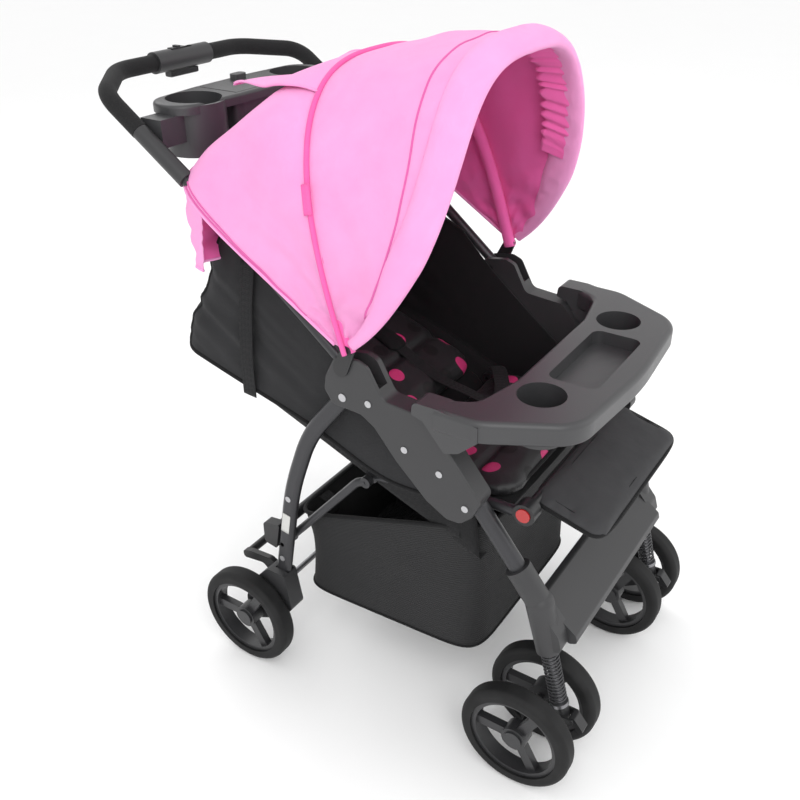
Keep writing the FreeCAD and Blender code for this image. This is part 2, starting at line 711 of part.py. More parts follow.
def canopy_sheet(label, rows):
    """Cloth between hoops: the space between an outer and an inner loft, open at the bottom, front and back."""

    def section(half, height, angle, ahead, foot):
        points = hoop_points(half, height, angle, foot=foot, ahead=ahead)
        base = Part.LineSegment(points[-1], points[0]).toShape()
        return Part.Wire([hoop_curve(points), base])

    cloth = size("cloth")
    outside = Part.makeLoft([section(*row, 14) for row in rows], True, True)
    spare = 2
    last = len(rows) - 1
    inside = Part.makeLoft(
        [
            section(half - cloth, height - cloth, angle, ahead + spare * ((i == last) - (i == 0)), 4)
            for i, (half, height, angle, ahead) in enumerate(rows)
        ],
        True,
        True,
    )
    shell = outside.cut(inside)
    if shell.Volume > outside.Volume / 2:
        raise RuntimeError(f"{label} isn't hollow")
    node(feature(shell), label)


def canopy():
    """Two bows and the cloth before and behind the middle bow."""
    step = size("bow_thick") + size("seat_gap")
    mid_half = bow_start() + size("bow_thick")
    front_half = mid_half + step
    mid, front = size("mid_bow_angle"), size("front_bow_angle")
    bow("canopy_mid_bow", mid_half, size("mid_bow_height"), mid)
    bow("canopy_front_bow", front_half, size("front_bow_height"), front)
    cloth_half = front_half + 6
    tall_mid, tall_front = size("mid_bow_height") + 3.5, size("front_bow_height") + 6.7
    seam = size("seat_gap") / 2
    rear = (cloth_half - 2, size("rear_hem_height"), size("rear_hem_angle"), 0)
    canopy_sheet("canopy_rear_cloth", [rear, (cloth_half, tall_mid, mid, -seam)])
    hem = (cloth_half - 3, tall_front - 1, front + 4, 0)
    canopy_sheet("canopy_front_cloth", [(cloth_half, tall_mid, mid, seam), (cloth_half, tall_front, front, 0), hem])


# ---------------------------------------------------------------- rear legs, brake and links


REAR_LEG = [(-50, 554), (22, 464), (62, 352), (99, 140)]
LEG_TURNS = [0, 260, 500, 0]


def rear_leg_path(x):
    """The rear leg's centre line."""
    return rounded([side_point(x, p) for p in REAR_LEG], LEG_TURNS, closed=False)


def oval_tube(side):
    """One curved rear leg of flat oval tube, with a round top end that turns on the hinge pin."""
    x = side * size("side_tube_across")
    path = rear_leg_path(x)
    start = side_point(x, REAR_LEG[0])
    heading = (side_point(x, REAR_LEG[1]) - start).normalize()
    broad = heading.cross(X_AXIS)

    def oval(wide, thick):
        flat_half = (wide - thick) / 2
        ends = [start + broad * flat_half, start - broad * flat_half]
        rim = X_AXIS * (thick / 2)
        arcs = [
            Part.Arc(ends[0] + rim, ends[0] + broad * (thick / 2), ends[0] - rim),
            Part.LineSegment(ends[0] - rim, ends[1] - rim),
            Part.Arc(ends[1] - rim, ends[1] - broad * (thick / 2), ends[1] + rim),
            Part.LineSegment(ends[1] + rim, ends[0] + rim),
        ]
        return Part.Wire([a.toShape() for a in arcs])

    wall = 2 * size("tube_wall")
    wide, thick = size("rear_leg_wide"), size("rear_leg_thick")
    shell = hollow_sweep(path, oval(wide, thick), oval(wide - wall, thick - wall))
    bores = [
        Part.makeCylinder(radius, 2 * thick, side_point(x - thick, spot), X_AXIS)
        for spot, radius in (
            (REAR_HINGE, size("pin_radius") + size("running_gap")),
            (LINK_HINGE, size("pin_radius") + size("running_gap")),
            *((spot, size("rivet_radius") / 2) for spot in REAR_RIVETS),
        )
    ]
    crown = Part.makeCylinder(wide / 2, thick, side_point(x - thick / 2, REAR_HINGE), X_AXIS)
    solid = shell.fuse(crown)
    for bore in bores:
        solid = solid.cut(bore)
    return feature(solid.removeSplitter())


REAR_RIVETS = ((65, 336), (87, 210))


def rear_legs():
    """Rear legs, their rivets, feet, axle and the cross bar with its clamps."""
    node(group(*(oval_tube(side) for _, side in SIDES)), "rear_leg_tubes")
    x, thick = size("side_tube_across"), size("rear_leg_thick")
    heads, feet = [], []
    for _, side in SIDES:
        face = side * (x + thick / 2)
        for spot in REAR_RIVETS:
            shank = across(side * (x - thick / 2), face, spot, "Sizes.rivet_radius / 2")
            heads.append(fuse(shank, across(face, face + side * size("rivet_head"), spot, "Sizes.rivet_radius")))
        feet.append(rear_foot(side))
    node(group(*heads), "rear_leg_rivets")
    node(group(*feet), "rear_feet")
    reach = size("rear_wheel_across") + axle_depth()
    node(across(-reach, reach, REAR_AXLE, "Sizes.axle_radius"), "rear_axle")
    cross_bar()


def axle_depth():
    """How far an axle reaches past the middle plane of a wheel, into its blind bore."""
    return size("rim_width") / 2 - size("bore_floor") - size("seat_gap")


def rear_foot(side):
    """The moulded foot at a rear leg's end: a socket for the leg, and the bore that holds the axle."""
    wheel_face = size("rear_wheel_across") - size("wheel_width") / 2
    x_inner, x_outer = side * FOOT_INNER, side * (wheel_face - 1.5)
    outline = [(78, 184), (112, 184), (134, 160), (164, 104), (164, 72), (136, 66), (92, 88), (66, 118)]
    block = slab(outline, [5, 5, 10, 16, 12, 12, 16, 10], min(x_inner, x_outer), max(x_inner, x_outer))
    path = rear_leg_path(side * size("side_tube_across"))
    foot_edge = path.Edges[-1]
    end = foot_edge.Vertexes[-1].Point
    lean = (end - foot_edge.Vertexes[0].Point).normalize()
    wide, thick = size("rear_leg_wide") + 0.2, size("rear_leg_thick") + 0.2
    socket = feature(Part.makeBox(thick, wide, 60, Vector(-thick / 2, -wide / 2, -0.2)))
    socket.Placement = Placement(end, Rotation(Vector(0, 0, 1), -lean))
    axle = across(x_inner - side, x_outer + side, REAR_AXLE, "Sizes.axle_radius + Sizes.press_gap")
    pin = across(x_inner - side, x_outer + side, BRAKE_HINGE, "Sizes.pin_radius + Sizes.running_gap")
    return cut(block, socket, axle, pin)


FOOT_INNER = 200.5
CROSS_BAR = (108, 250)


def cross_bar():
    """The bar between the rear legs with a clamp behind each leg."""
    x, thick = size("side_tube_across"), size("rear_leg_thick")
    bar = across(-(x - thick / 2), x - thick / 2, CROSS_BAR, "Sizes.seat_tube_radius + 1")
    clamps = []
    for _, side in SIDES:
        near, far = side * (x - thick / 2), side * (x + thick / 2)
        front = size("rear_leg_wide") / 2 + 1
        outline = [(84 + front, 226), (108 + front, 230), (108 + front, 270), (75 + front, 274)]
        clamps.append(slab(outline, [2, 8, 8, 2], min(near, far), max(near, far)))
    node(fuse(bar, *clamps), "rear_cross_bar")


def brake():
    """The rear brake bar on two arched arms, pinned to the feet."""
    shapes = []
    back = (186, 160)
    for _, side in SIDES:
        x_near, x_far = sorted((side * (FOOT_INNER - 9.5), side * (FOOT_INNER - 0.5)))
        arch = [(110, 142), (112, 162), (134, 174), (176, 171), (194, 166), (192, 152), (150, 158), (130, 142)]
        shapes.append(slab(arch, [6, 6, 12, 6, 6, 5, 10, 6], x_near, x_far))
        pin_end = side * size("side_tube_across")
        shapes.append(across(side * (FOOT_INNER - 1.5), pin_end, BRAKE_HINGE, "Sizes.pin_radius"))
    shapes.append(across(-FOOT_INNER + 8.5, FOOT_INNER - 8.5, back, "Sizes.seat_tube_radius - 1"))
    node(fuse(*shapes), "brake_bar")


def links():
    """Folding links from the rear legs up to the rear ends of the seat tubes."""
    solids = []
    x, radius = size("link_across"), size("link_radius")
    for _, side in SIDES:
        route = [side_point(side * x, p) for p in (LINK_HINGE, (-48, 396), BACK_HINGE)]
        bend = tube(route, [0, 24, 0], radius, size("tube_wall"))
        leg_face = size("side_tube_across") - size("rear_leg_thick") / 2
        pin = across(side * (x - radius + 1), side * (leg_face + 6), LINK_HINGE, "Sizes.pin_radius")
        lower = across(side * (x - radius + 1), side * (x + radius - 1), LINK_HINGE, "Sizes.link_radius + 2")
        upper = across(side * (x - radius + 1), side * (x + radius - 1), BACK_HINGE, "Sizes.link_radius + 2")
        solids.append(fuse(bend, pin, lower, upper))
    node(group(*solids), "folding_links")


# ---------------------------------------------------------------- seat and backrest


def seat_frame():
    """Seat side tubes pinned to the plates, the front bar, and the hubs that the leg rest turns on."""
    x, radius = size("seat_tube_across"), size("seat_tube_radius")
    solids, hubs = [], []
    for _, side in SIDES:
        front = (LEG_REST_HINGE[0] + HUB_RADIUS + 0.1, LEG_REST_HINGE[1] - 4)
        route = [side_point(side * x, p) for p in (BACK_HINGE, SEAT_HINGE, front)]
        rail = tube(route, [0, 60, 0], radius, size("tube_wall"))
        eye = across(side * (x - radius + 1), side * (x + radius - 1), BACK_HINGE, "Sizes.seat_tube_radius + 2")
        pin = across(side * (x + radius - 2), side * (size("plate_inner") + 8), SEAT_HINGE, "Sizes.pin_radius")
        bore = across(side * (x - radius - 1), side * (x + 2), BACK_HINGE, "Sizes.pin_radius + Sizes.running_gap")
        solids.append(cut(fuse(rail, eye, pin), bore))
        hubs.append(leg_rest_hub(side))
    node(group(*solids), "seat_side_tubes")
    node(fuse(*hubs, across(-(x - 12), x - 12, LEG_REST_HINGE, "Sizes.seat_tube_radius")), "leg_rest_hubs")


HUB_RADIUS = 16
BUTTON_RADIUS = 10
BUTTON_PRESS = 3


def leg_rest_hub(side):
    """A ratchet housing at the seat tube's front end, open outwards for the release button."""
    x = size("seat_tube_across")
    hub = across(side * (x - 13), side * (x + 9), LEG_REST_HINGE, str(HUB_RADIUS))
    well = across(side * (x - 1 - BUTTON_PRESS), side * (x + 10), LEG_REST_HINGE, f"{BUTTON_RADIUS} + Sizes.seat_gap")
    return cut(hub, well)


def leg_rest_buttons():
    """The two round release buttons."""
    x = size("seat_tube_across")
    for name, side in SIDES:
        knob = across(side * (x + 4), side * (x + 11), LEG_REST_HINGE, str(BUTTON_RADIUS))
        stem = across(side * (x - 0.7), side * (x + 4), LEG_REST_HINGE, "4")
        node(fuse(knob, stem), f"leg_rest_button_{name}")


def leg_rest():
    """The padded leg rest, wrapped round the front bar."""
    half, length, thick = size("leg_rest_half"), size("leg_rest_length"), size("leg_rest_thick")
    y, z = LEG_REST_HINGE
    drop = 0.19
    front = y - length
    outline = [
        (y + 14, z + 6),
        (y, z + 12),
        (front, z + 2 - drop * length),
        (front, z + 2 - drop * length - thick + 4),
        (y - 12, z - 16),
        (y + 12, z - 10),
    ]
    body = new_body("leg_rest_body")
    panel = pad(body, "YZ_Plane", [flat(outline, [5, 8, 7, 7, 6, 6])], -half)
    panel.setExpression("Length", "2 * Sizes.leg_rest_half")
    bore = across(-half - 1, half + 1, LEG_REST_HINGE, "Sizes.seat_tube_radius + Sizes.seat_gap")
    node(cut(body, bore), "leg_rest_panel")


def seat():
    """The sling between the seat tubes and the padded liner on it."""
    half = size("pad_half_width")
    thick = size("board_thick")
    rise = (BACK_HINGE[1] - SEAT_HINGE[1]) / (BACK_HINGE[0] - SEAT_HINGE[0])
    top = lambda y: SEAT_HINGE[1] + rise * (y - SEAT_HINGE[0])
    back, front = -76, -284
    sling_half = size("seat_tube_across") - size("seat_tube_radius") - size("soft_gap")
    sling = [(front, 432 - thick), (SEAT_HINGE[0], top(SEAT_HINGE[0]) - thick), (back, top(back) - thick)]
    sling += [(back, top(back)), (SEAT_HINGE[0], top(SEAT_HINGE[0])), (front, 432)]
    body = new_body("seat_sling_body")
    pad(body, "YZ_Plane", [flat(sling)], -sling_half, Length=2 * sling_half)
    node(body, "seat_sling")
    lift = size("seat_pad_thick")
    gap = size("soft_gap")
    cushion = [(front, 432 + gap), (SEAT_HINGE[0], top(SEAT_HINGE[0]) + gap), (back, top(back) + gap)]
    cushion += [(back - 8, top(back) + lift), (SEAT_HINGE[0], top(SEAT_HINGE[0]) + lift), (front + 2, 430 + lift)]
    pad_body = new_body("seat_pad_body")
    corners = [4, 0, 4, 11, 0, 11]
    pad(pad_body, "YZ_Plane", [flat(cushion, corners)], -half, Length="2 * Sizes.pad_half_width")
    node(pad_body, "seat_pad")


def back_point(distance, lift):
    """A point of the reclined backrest: distance from its hinge, and lift square to its board."""
    lean = math.radians(size("back_angle"))
    y = BACK_HINGE[0] + distance * math.cos(lean) - lift * math.sin(lean)
    z = BACK_HINGE[1] + distance * math.sin(lean) + lift * math.cos(lean)
    return (y, z)


def backrest():
    """The backrest board on its pins, and the padded liner on it."""
    length, thick, half = size("back_length"), size("board_thick"), size("pad_half_width") + 2
    board = slab(
        [back_point(-6, -thick), back_point(length, -thick), back_point(length, 0), back_point(-6, 0)],
        [2, 2, 2, 2],
        -half,
        half,
    )
    tips = []
    for _, side in SIDES:
        ear_x = sorted((side * (half - 10), side * half))
        tips.append(slab([back_point(-9, -8), back_point(12, -8), back_point(12, -1), back_point(-9, -1)], 0, *ear_x))
        tips.append(across(side * (half - 8), side * size("seat_tube_across"), BACK_HINGE, "Sizes.pin_radius"))
    node(fuse(board, *tips), "backrest_board")
    lift, gap = size("back_pad_thick"), size("soft_gap")
    outline = [back_point(26, gap), back_point(length - 4, gap), back_point(length - 4, lift), back_point(40, lift)]
    body = new_body("backrest_pad_body")
    pad(body, "YZ_Plane", [flat(outline, [6, 10, 12, 12])], -half + 2, Length="2 * Sizes.pad_half_width")
    node(body, "backrest_pad")


def side_panels():
    """Cloth that closes each side between the backrest, the seat and the canopy."""
    solids = []
    outline = [(-62, 424), back_point(330, 4), (262, 590), (200, 690), (176, 770), (40, 688), (-84, 590), (-96, 520)]
    x_outer = size("plate_inner") - size("soft_gap")
    for _, side in SIDES:
        x_from, x_to = sorted((side * (x_outer - size("cloth")), side * x_outer))
        solids.append(slab(outline, [10, 20, 20, 12, 12, 0, 10, 12], x_from, x_to))
    node(group(*solids), "side_panels")


def harness():
    """Shoulder, waist and crotch straps that meet at the buckle."""
    wide, thick = size("strap_width"), size("strap_thick")
    lift = size("back_pad_thick") + 2 * size("soft_gap")
    straps = []
    for _, side in SIDES:
        middle = side * size("strap_across")
        x_from, x_to = middle - wide / 2, middle + wide / 2
        run = [back_point(120, lift), back_point(300, lift), back_point(300, lift + thick), back_point(120, lift + thick)]
        straps.append(slab(run, 0, x_from, x_to))
    node(group(*straps), "shoulder_straps")
    y, z = BUCKLE
    wide, long, tall = size("buckle_width"), size("buckle_length"), size("buckle_thick")
    box = feature(Part.makeBox(wide, long, tall, Vector(-wide / 2, y - long / 2, z)))
    rounded_box = doc.addObject("Part::Fillet", "Fillet")
    rounded_box.Base = box
    doc.recompute()
    rounded_box.Edges = [(i, 4, 4) for i in range(1, 13)]
    floor = Vector(0, y, z + 6 - BUTTON_PRESS)
    well = primitive("Cylinder", floor, Radius="Sizes.buckle_button_radius + Sizes.seat_gap", Height=tall)
    outline = [(y - 15, z - 1), (y + 15, z - 1), (y + 15, z + 5), (y - 15, z + 5)]
    strap = slab(outline, 0, -size("strap_width") / 2, size("strap_width") / 2)
    node(cut(fuse(rounded_box, strap), well), "harness_buckle")
    knob = primitive("Cylinder", Vector(0, y, z + 9.5), Radius="Sizes.buckle_button_radius")
    knob.Height = 5
    stem = primitive("Cylinder", Vector(0, y, z + 6 + size("soft_gap")), Radius="3")
    stem.Height = 4
    node(fuse(knob, stem), "buckle_button")


BUCKLE = (-168, 450.8)


# ---------------------------------------------------------------- child tray, basket


def child_tray():
    """The snack tray across the front: two cups, a recess, and arms that plug into the hinge plates."""
    top, deep = size("tray_top"), size("tray_depth")
    plan = [
        (-238, -200),
        (-236, -262),
        (-176, -372),
        (0, -386),
        (176, -372),
        (236, -262),
        (238, -200),
        (204, -200),
        (188, -234),
        (112, -250),
        (-112, -250),
        (-188, -234),
        (-204, -200),
    ]
    turns = [0, 60, 60, 500, 60, 60, 0, 0, 26, 60, 60, 26, 0]
    body = new_body("child_tray_body")
    pad(body, "XY_Plane", [flat(plan, turns)], top - deep, Length="Sizes.tray_depth")
    body_fillet(body, 8, lambda p: abs(p.z - top) < 0.01 and p.y < -205)
    body_fillet(body, 5, lambda p: abs(p.z - top + deep) < 0.01 and p.y < -205)
    cups = [(side * size("tray_cup_across"), CHILD_CUP_BACK) for side in (-1, 1)]
    for spot in cups:
        boss = ring(spot, size("tray_cup_radius") + size("tray_wall"))
        base = top - size("tray_cup_deep") - size("tray_wall")
        pad(body, "XY_Plane", [boss], base, Length="Sizes.tray_cup_deep - Sizes.tray_depth + 10")
    pocket(
        body, "XY_Plane", [ring(spot, size("tray_cup_radius")) for spot in cups], top, Length="Sizes.tray_cup_deep"
    )
    recess = rectangle(84, -352, -280)
    pocket(body, "XY_Plane", [flat(recess, 14)], top, Length="Sizes.recess_deep")
    arms = []
    for side in (-1, 1):
        gap = size("seat_gap")
        profile = [(-262, top - 8), (-204, top), (-168, top), (-166, 571 + gap), (-183 - gap, 566 + gap)]
        profile += [(-215 - gap, 529), (-236, 536), (-262, 560)]
        x_near, x_far = sorted((side * 203, side * 236))
        arm = slab(profile, [0, 0, 8, 3, 0, 4, 8, 0], x_near, x_far)
        arms += [arm, tray_tongue(side, 0)]
    node(fuse(body, *arms), "child_tray")


CHILD_CUP_BACK = -297
BASKET = [(-256, 386), (60, 262), (66, 116), (-246, 150)]


def basket():
    """The storage basket: cloth walls and floor, open on top, hung from the seat tubes and the rear bar."""
    half, cloth = size("basket_half"), size("cloth")
    outer = slab(BASKET, [0, 0, 30, 22], -half, half)
    inside = [(-256 + cloth, 400), (60 - cloth, 276), (66 - cloth, 116 + cloth), (-246 + cloth, 150 + cloth)]
    inner = slab(inside, [0, 0, 28, 20], -half + cloth, half - cloth)
    shapes = [cut(outer, inner)]
    hang_y = -200
    rail = SEAT_HINGE[1] - size("seat_tube_radius")
    for _, side in SIDES:
        x_from, x_to = sorted((side * (half - cloth), side * half))
        low = 350
        strap = [(hang_y - 14, low), (hang_y + 14, low), (hang_y + 14, rail - 6.8), (hang_y - 14, rail - 2.2)]
        shapes.append(slab(strap, 0, x_from, x_to))
        x_from, x_to = sorted((side * 90, side * 115))
        tab = [(58, 240), (58, 262), (98.6, 262), (98.6, 240)]
        shapes.append(slab(tab, 0, x_from, x_to))
    node(fuse(*shapes), "basket")


# ---------------------------------------------------------------- casters and wheels


def caster(name, side):
    """One raked caster: the sprung stem, its spring, the fork, the lock lever and the axle."""
    length = size("spring_length")
    rod_stem = rod(swivel_point(-46, side), swivel_point(length + STEM_TAIL, side), "Sizes.stem_radius")
    seat_top, seat_foot = length + size("soft_gap"), length + COLLAR_THICK
    collar = rod(swivel_point(seat_top, side), swivel_point(seat_foot, side), "Sizes.collar_radius")
    node(fuse(rod_stem, collar), f"caster_stem_{name}")
    spring(name, side)
    fork(name, side)
    lock_lever(name, side)


def spring(name, side):
    """The coil spring round a stem."""
    wire, radius = size("spring_wire"), size("spring_radius")
    length = size("spring_length") - wire
    turns = size("spring_turns")
    helix = Part.makeHelix(length / turns, length, radius)
    start = Part.Wire(Part.Circle(Vector(radius, 0, 0), Vector(0, 1, 0), wire / 2).toShape())
    coil = Part.Wire(helix.Edges).makePipeShell([start], True, True)
    made = feature(coil)
    base = swivel_point(size("spring_length") - wire / 2, side)
    made.Placement = Placement(base, along(swivel_point(0, side) - base))
    node(made, f"caster_spring_{name}")


def fork(name, side):
    """The fork that turns on the stem and carries the axle between the twin wheels."""
    length = size("spring_length")
    x = side * size("caster_across")
    half = size("fork_width") / 2
    boss_top, boss_foot = length + COLLAR_THICK + size("seat_gap"), length + STEM_TAIL + 8
    boss = rod(swivel_point(boss_top, side), swivel_point(boss_foot, side), "12.5")
    upper, lower = swivel_point(length + 8, side, -6), swivel_point(boss_foot, side, 8)
    outline = [
        (upper.y, upper.z),
        (FRONT_AXLE[0] + 12, FRONT_AXLE[1] + 6),
        (FRONT_AXLE[0] + 8, FRONT_AXLE[1] - 11),
        (FRONT_AXLE[0] - 12, FRONT_AXLE[1] - 12),
        (lower.y, lower.z),
    ]
    web = slab(outline, [4, 10, 9, 9, 8], x - half, x + half)
    ears = []
    pivot = swivel_point(length + LEVER_DROP, side, LEVER_REACH)
    root = swivel_point(length + LEVER_DROP, side, 4)
    for ear_side in (-1, 1):
        ear_inner = size("lever_width") / 2 + size("seat_gap")
        near, far = sorted((x + ear_side * ear_inner, x + ear_side * half))
        ear = slab(
            [(root.y, root.z + 7), (root.y, root.z - 8), (pivot.y - 4, pivot.z - 4), (pivot.y - 4, pivot.z + 4)],
            [0, 0, 3, 3],
            near,
            far,
        )
        ears.append(ear)
    stem_bore = "Sizes.stem_radius + Sizes.running_gap"
    bores = [
        rod(swivel_point(length, side), swivel_point(length + STEM_TAIL + 1, side), stem_bore),
        across(x - half - 1, x + half + 1, FRONT_AXLE, "Sizes.axle_radius + Sizes.press_gap"),
        across(x - half - 1, x + half + 1, (pivot.y, pivot.z), "Sizes.lever_pin_radius + Sizes.running_gap"),
    ]
    reach = size("twin_spacing") + axle_depth()
    axle = across(x - reach, x + reach, FRONT_AXLE, "Sizes.axle_radius")
    node(group(cut(fuse(boss, web, *ears), *bores), axle), f"caster_fork_{name}")


# Distances down the swivel axis from the foot of the spring, and forward of it
STEM_TAIL = 30
COLLAR_THICK = 6
LEVER_DROP = 26
LEVER_REACH = 19


def lock_lever(name, side):
    """The small foot lever that locks the swivel."""
    length = size("spring_length")
    x = side * size("caster_across")
    pivot = swivel_point(length + LEVER_DROP, side, LEVER_REACH)
    half = size("lever_width") / 2
    outline = [
        (pivot.y + 4, pivot.z + 5),
        (pivot.y + 4, pivot.z - 3),
        (pivot.y - 14, pivot.z - 19),
        (pivot.y - 20, pivot.z - 13),
        (pivot.y - 5, pivot.z + 5),
    ]
    blade = slab(outline, [2, 3, 3, 3, 4], x - half, x + half)
    pin = across(x - size("fork_width") / 2, x + size("fork_width") / 2, (pivot.y, pivot.z), "Sizes.lever_pin_radius")
    node(fuse(blade, pin), f"swivel_lock_{name}")


def wheel(name, x, axle, outward):
    """One wheel: tyre, and a three-spoke rim with its hub cap on the outward face."""
    half = size("wheel_width") / 2
    disc = across(x - half, x + half, axle, "Sizes.wheel_radius")
    hole = across(x - half, x + half, axle, "Sizes.wheel_radius - Sizes.tyre_depth")
    band = cut(disc, hole)
    tyre = doc.addObject("Part::Fillet", "Fillet")
    tyre.Base = band
    doc.recompute()
    around = math.tau * size("wheel_radius")
    rims = [i for i, e in enumerate(band.Shape.Edges, start=1) if e.Closed and abs(e.Length - around) < 0.1]
    tyre.Edges = [(i, size("tyre_edge"), size("tyre_edge")) for i in rims]
    node(tyre, f"{name}_tyre")

    rim_half = size("rim_width") / 2
    ring_out = across(x - rim_half, x + rim_half, axle, "Sizes.wheel_radius - Sizes.tyre_depth")
    ring_in = across(x - half, x + half, axle, "Sizes.wheel_radius - Sizes.tyre_depth - Sizes.rim_band")
    hub = across(x - rim_half, x + rim_half, axle, "Sizes.hub_radius")
    spokes = []
    reach = size("wheel_radius") - size("tyre_depth") - size("rim_band") / 2
    wide, deep = size("spoke_width"), size("spoke_depth")
    for i in range(3):
        spoke = feature(Part.makeBox(deep, wide, reach, Vector(-deep / 2, -wide / 2, 0)))
        spoke.Placement = Placement(side_point(x, axle), Rotation(X_AXIS, 30 + 120 * i))
        spokes.append(spoke)
    bore_end = x + outward * (axle_depth() + size("seat_gap"))
    bore = across(x - outward * half, bore_end, axle, "Sizes.axle_radius + Sizes.running_gap")
    rim = cut(fuse(cut(ring_out, ring_in), hub, *spokes), bore)
    cap = across(x + outward * rim_half, x + outward * (rim_half + 3), axle, "Sizes.hub_cap_radius")
    node(group(rim, cap), f"{name}_rim")


def wheels():
    """Six wheels: one at each rear foot and a pair on each caster."""
    for name, side in SIDES:
        wheel(f"rear_wheel_{name}", side * size("rear_wheel_across"), REAR_AXLE, side)
        for place, outward in (("outer", side), ("inner", -side)):
            x = side * size("caster_across") + outward * size("twin_spacing")
            wheel(f"front_wheel_{name}_{place}", x, FRONT_AXLE, outward)


def build():
    """Make every sub-part."""
    front_legs()
    for name, side in SIDES:
        hinge_plate(name, side)
        caster(name, side)
    plate_rivets()
    footrest()
    handle()
    grip()
    parent_tray()
    parent_lid()
    canopy_clamps()
    canopy()
    rear_legs()
    brake()
    links()
    seat_frame()
    leg_rest_buttons()
    leg_rest()
    seat()
    backrest()
    side_panels()
    harness()
    child_tray()
    basket()
    wheels()


def check_and_export():
    """Refuse a failed feature or shape, then write one STEP file a node."""
    doc.recompute()
    for obj in doc.Objects:
        if {"Invalid", "Error"} & set(obj.State):
            raise RuntimeError(f"{obj.Label} failed: {obj.State}")
    for obj in nodes:
        if obj.Shape.isNull() or not obj.Shape.isValid() or not obj.Shape.Solids:
            raise RuntimeError(f"{obj.Label} has no valid solid")
    os.makedirs("parts", exist_ok=True)
    for obj in nodes:
        obj.Shape.exportStep(f"parts/{obj.Label}.step")
        print(f"{obj.Label}: {len(obj.Shape.Solids)} solids, {obj.Shape.Volume / 1000:.1f} cm3")
    print(len(nodes), "nodes")


build()
check_and_export()
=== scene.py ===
"""Looks of the baby stroller: finishes for its frame, and its canopy, seat, harness and basket in cloth.

Lengths are in metres, in the frame's own axes: +X to the rider's left, -Y to the front, +Z up.
"""

import bisect
import json
import logging
import math
from dataclasses import astuple, dataclass, field, replace
from enum import Enum
from functools import cached_property, lru_cache
from typing import Callable, ClassVar, Sequence

import bmesh
import bpy
from mathutils import Matrix, Vector, noise


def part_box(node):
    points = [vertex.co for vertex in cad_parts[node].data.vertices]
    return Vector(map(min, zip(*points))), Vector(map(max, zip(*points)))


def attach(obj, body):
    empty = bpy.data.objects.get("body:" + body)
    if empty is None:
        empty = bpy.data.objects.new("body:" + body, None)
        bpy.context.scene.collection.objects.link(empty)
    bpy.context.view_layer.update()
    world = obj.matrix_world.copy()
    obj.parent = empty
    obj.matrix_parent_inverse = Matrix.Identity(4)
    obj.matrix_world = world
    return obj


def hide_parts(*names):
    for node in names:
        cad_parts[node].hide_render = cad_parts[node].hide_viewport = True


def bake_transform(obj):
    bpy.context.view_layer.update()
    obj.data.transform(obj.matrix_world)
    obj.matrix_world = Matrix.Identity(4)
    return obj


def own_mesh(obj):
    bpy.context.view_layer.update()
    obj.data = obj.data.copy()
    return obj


log = logging.getLogger("stroller")
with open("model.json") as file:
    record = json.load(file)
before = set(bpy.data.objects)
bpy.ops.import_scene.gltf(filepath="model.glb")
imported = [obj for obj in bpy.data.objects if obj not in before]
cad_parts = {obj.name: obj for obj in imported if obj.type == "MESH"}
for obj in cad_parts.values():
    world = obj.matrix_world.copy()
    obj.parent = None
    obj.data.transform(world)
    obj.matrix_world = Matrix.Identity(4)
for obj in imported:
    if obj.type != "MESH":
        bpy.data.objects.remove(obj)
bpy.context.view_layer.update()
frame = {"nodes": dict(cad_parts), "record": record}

Colour = tuple[float, float, float]
Place = Callable[[float, float], Vector]
Route = Callable[[float], Vector]

UP = Vector((0, 0, 1))
ACROSS = Vector((1, 0, 0))


# ---------------------------------------------------------------- shader building


class Number:
    """A number that changes over a surface; the usual operators add Math nodes."""

    def __init__(self, shader: "Shader", socket: bpy.types.NodeSocket) -> None:
        """Wrap a socket of the shader's tree."""
        self.shader = shader
        self.socket = socket

    def maths(self, operation: str, *others: "Number | float", swapped: bool = False) -> "Number":
        """Add one Math node.

        Args:
            operation: the node's operation.
            others: its further inputs.
            swapped: put this number after the first of the others.

        Returns:
            The node's result.
        """
        inputs = [self, *others]
        if swapped:
            inputs.reverse()
        node = self.shader.node("Math", {"operation": operation}, dict(enumerate(inputs)))
        return Number(self.shader, node.outputs[0])

    def __add__(self, other: "Number | float") -> "Number":
        """Sum."""
        return self.maths("ADD", other)

    def __sub__(self, other: "Number | float") -> "Number":
        """Difference."""
        return self.maths("SUBTRACT", other)

    def __rsub__(self, other: float) -> "Number":
        """Difference from a plain number."""
        return self.maths("SUBTRACT", other, swapped=True)

    def __mul__(self, other: "Number | float") -> "Number":
        """Product."""
        return self.maths("MULTIPLY", other)

    def __truediv__(self, other: "Number | float") -> "Number":
        """Quotient."""
        return self.maths("DIVIDE", other)

    def __gt__(self, other: "Number | float") -> "Number":
        """1 where this is the greater, 0 elsewhere."""
        return self.maths("GREATER_THAN", other)

    def __abs__(self) -> "Number":
        """Size without its sign."""
        return self.maths("ABSOLUTE")

    __radd__ = __add__
    __rmul__ = __mul__

    def clipped(self, low: float = 0.0, high: float = 1.0) -> "Number":
        """Held between two limits."""
        return self.maths("MAXIMUM", low).maths("MINIMUM", high)


class Space(Enum):
    """Where a finish reads its pattern from."""

    OBJECT = "Object"
    UV = "UV"


